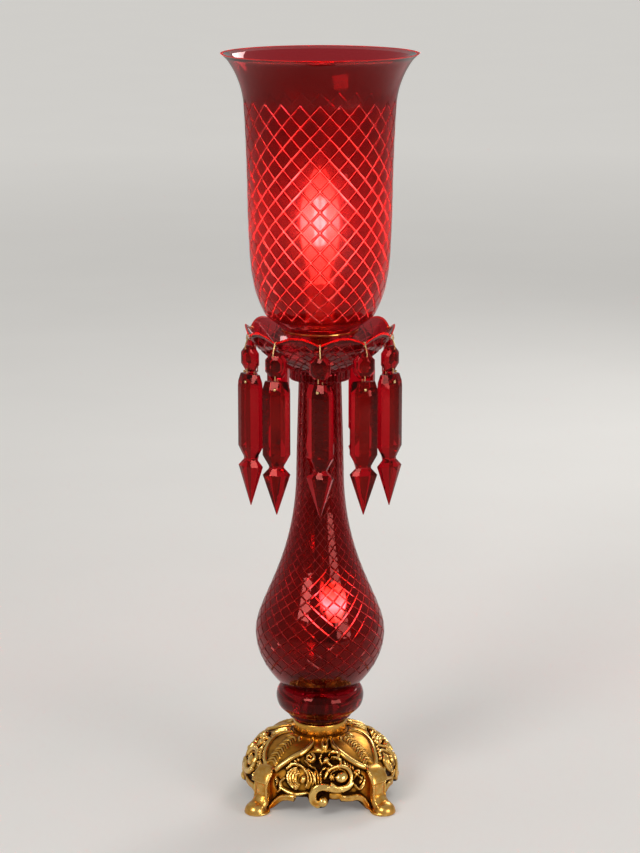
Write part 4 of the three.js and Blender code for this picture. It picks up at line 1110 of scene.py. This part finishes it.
def night_light():
    """The small bulb in the stem and its holder."""
    middle = (17 * math.cos(math.radians(-40)), 17 * math.sin(math.radians(-40)))
    bulb = [(5.9, 154.5), (5.9, 169.4), (8.9, 177.4), (10.5, 186.4), (8.4, 197.2), (3.5, 203.2)]
    bulb = smooth_line(bulb + [(AXIS, 204.4)], 5)
    points, faces = turned(np.vstack([[(AXIS, 152.9), (4.5, 152.9)], bulb]), 40, middle)
    slot, node = "frosted_glass", "night_light_bulb"
    new_piece("small_bulb", points, faces, night_lit, "lamp", [node], ROUND_SHARP)
    cup = [(AXIS, 148.4), (8.0, 148.4), (8.6, 149.4), (8.6, 161), (8.0, 161.4), (8.0, 163.4)]
    cup += [(8.6, 163.8), (8.6, 168.4), (6.3, 168.4), (6.3, 152.6), (AXIS, 152.6)]
    node, slot, fit = "night_light_holder", "black_plastic", {"ease": 0.3, "sides": 40}
    turned_piece(node, "small_holder", cup, black_phenolic, slot, middle=middle, **fit)


def carried_over():
    """CAD pieces whose shape is right, with their finishes."""
    for finish, names in (
        (steel_zinc, ("lamp_tube", "base_washer", "base_nut")),
        (brass_polished, ("check_nut", "night_light_bracket")),
        (black_phenolic, ("cord_bushing", "lampholder")),
    ):
        for name in names:
            nodes[name].data.materials.clear()
            nodes[name].data.materials.append(finish)


shade()
stem()
dish()
knop()
strings()
cast_dome()
feet()
brass()
candle()
night_light()
carried_over()


# The studio


def seen_ray(tree):
    """1 for what the camera sees straight or through glass, 0 for what only lights the lamp."""
    straight = add(tree, "LightPath", output="Is Camera Ray")
    through = add(tree, "LightPath", output="Is Transmission Ray")
    return worked(tree, "MAXIMUM", straight, through)


def pale_floor():
    """A pale floor that fills the view, lifted to one even paleness far from the lamp."""
    material, tree = new_finish("pale_floor")
    cloud = ranged(tree, noise(tree, 300.0), 0.3, 0.7)
    colour = mixed(tree, cloud, "#DEDCD8", "#DBD9D5")
    paint = principled(tree, Base_Color=colour, Roughness=0.9, Specular_IOR_Level=0.1)
    place = add(tree, "TexCoord", output="Object")
    away = add(tree, "VectorMath", {"operation": "LENGTH"}, "Value", _0=place)
    lift = worked(tree, "MULTIPLY", ranged(tree, away, 0.3, 5.0, 0.13, 0.4), seen_ray(tree))
    glow = add(tree, "Emission", Color="#F4F2EE", Strength=lift)
    ended(material, add(tree, "AddShader", _0=paint, _1=glow))
    reach = 30
    corners = [(-reach, -reach, 0), (reach, -reach, 0), (reach, reach, 0), (-reach, reach, 0)]
    mesh = bpy.data.meshes.new("floor")
    mesh.from_pydata(corners, [], [(0, 1, 2, 3)])
    mesh.materials.append(material)
    floor = bpy.data.objects.new("floor", mesh)
    bpy.context.scene.collection.objects.link(floor)


def studio_light(name, place, aim, size, power):
    """A soft square lamp aimed at a point."""
    light = bpy.data.lights.new(name, "AREA")
    light.size, light.energy = size, power
    lamp = bpy.data.objects.new(name, light)
    lamp.location = place
    lamp.rotation_euler = (Vector(aim) - Vector(place)).to_track_quat("-Z", "Y").to_euler()
    bpy.context.scene.collection.objects.link(lamp)


def studio():
    """Plain soft light all round, and the camera where the photograph was taken from."""
    pale_floor()
    scene = bpy.context.scene
    world = bpy.data.worlds.new("pale_room")
    world.use_nodes = True
    tree = world.node_tree
    tree.nodes.clear()
    strength = ranged(tree, seen_ray(tree), 0.0, 1.0, 0.4, 0.68)
    light = add(tree, "Background", Color="#F4F3F1", Strength=strength)
    add(tree, "OutputWorld", Surface=light)
    scene.world = world
    studio_light("key", (-1.3, -1.9, 1.7), aim=(0, 0, 0.3), size=1.0, power=28)
    studio_light("fill", (1.5, -1.6, 0.7), aim=(0, 0, 0.2), size=1.0, power=16)
    studio_light("back", (0.9, 1.6, 1.5), aim=(0, 0, 0.4), size=0.8, power=14)
    camera = bpy.data.cameras.new("camera")
    camera.lens, camera.sensor_width = CAMERA_LENS, 36.0
    holder = bpy.data.objects.new("camera", camera)
    holder.location = CAMERA_PLACE
    holder.rotation_euler = (math.radians(CAMERA_TILT), 0, 0)
    scene.collection.objects.link(holder)
    scene.camera = holder
    scene.view_settings.view_transform = "Standard"


studio()
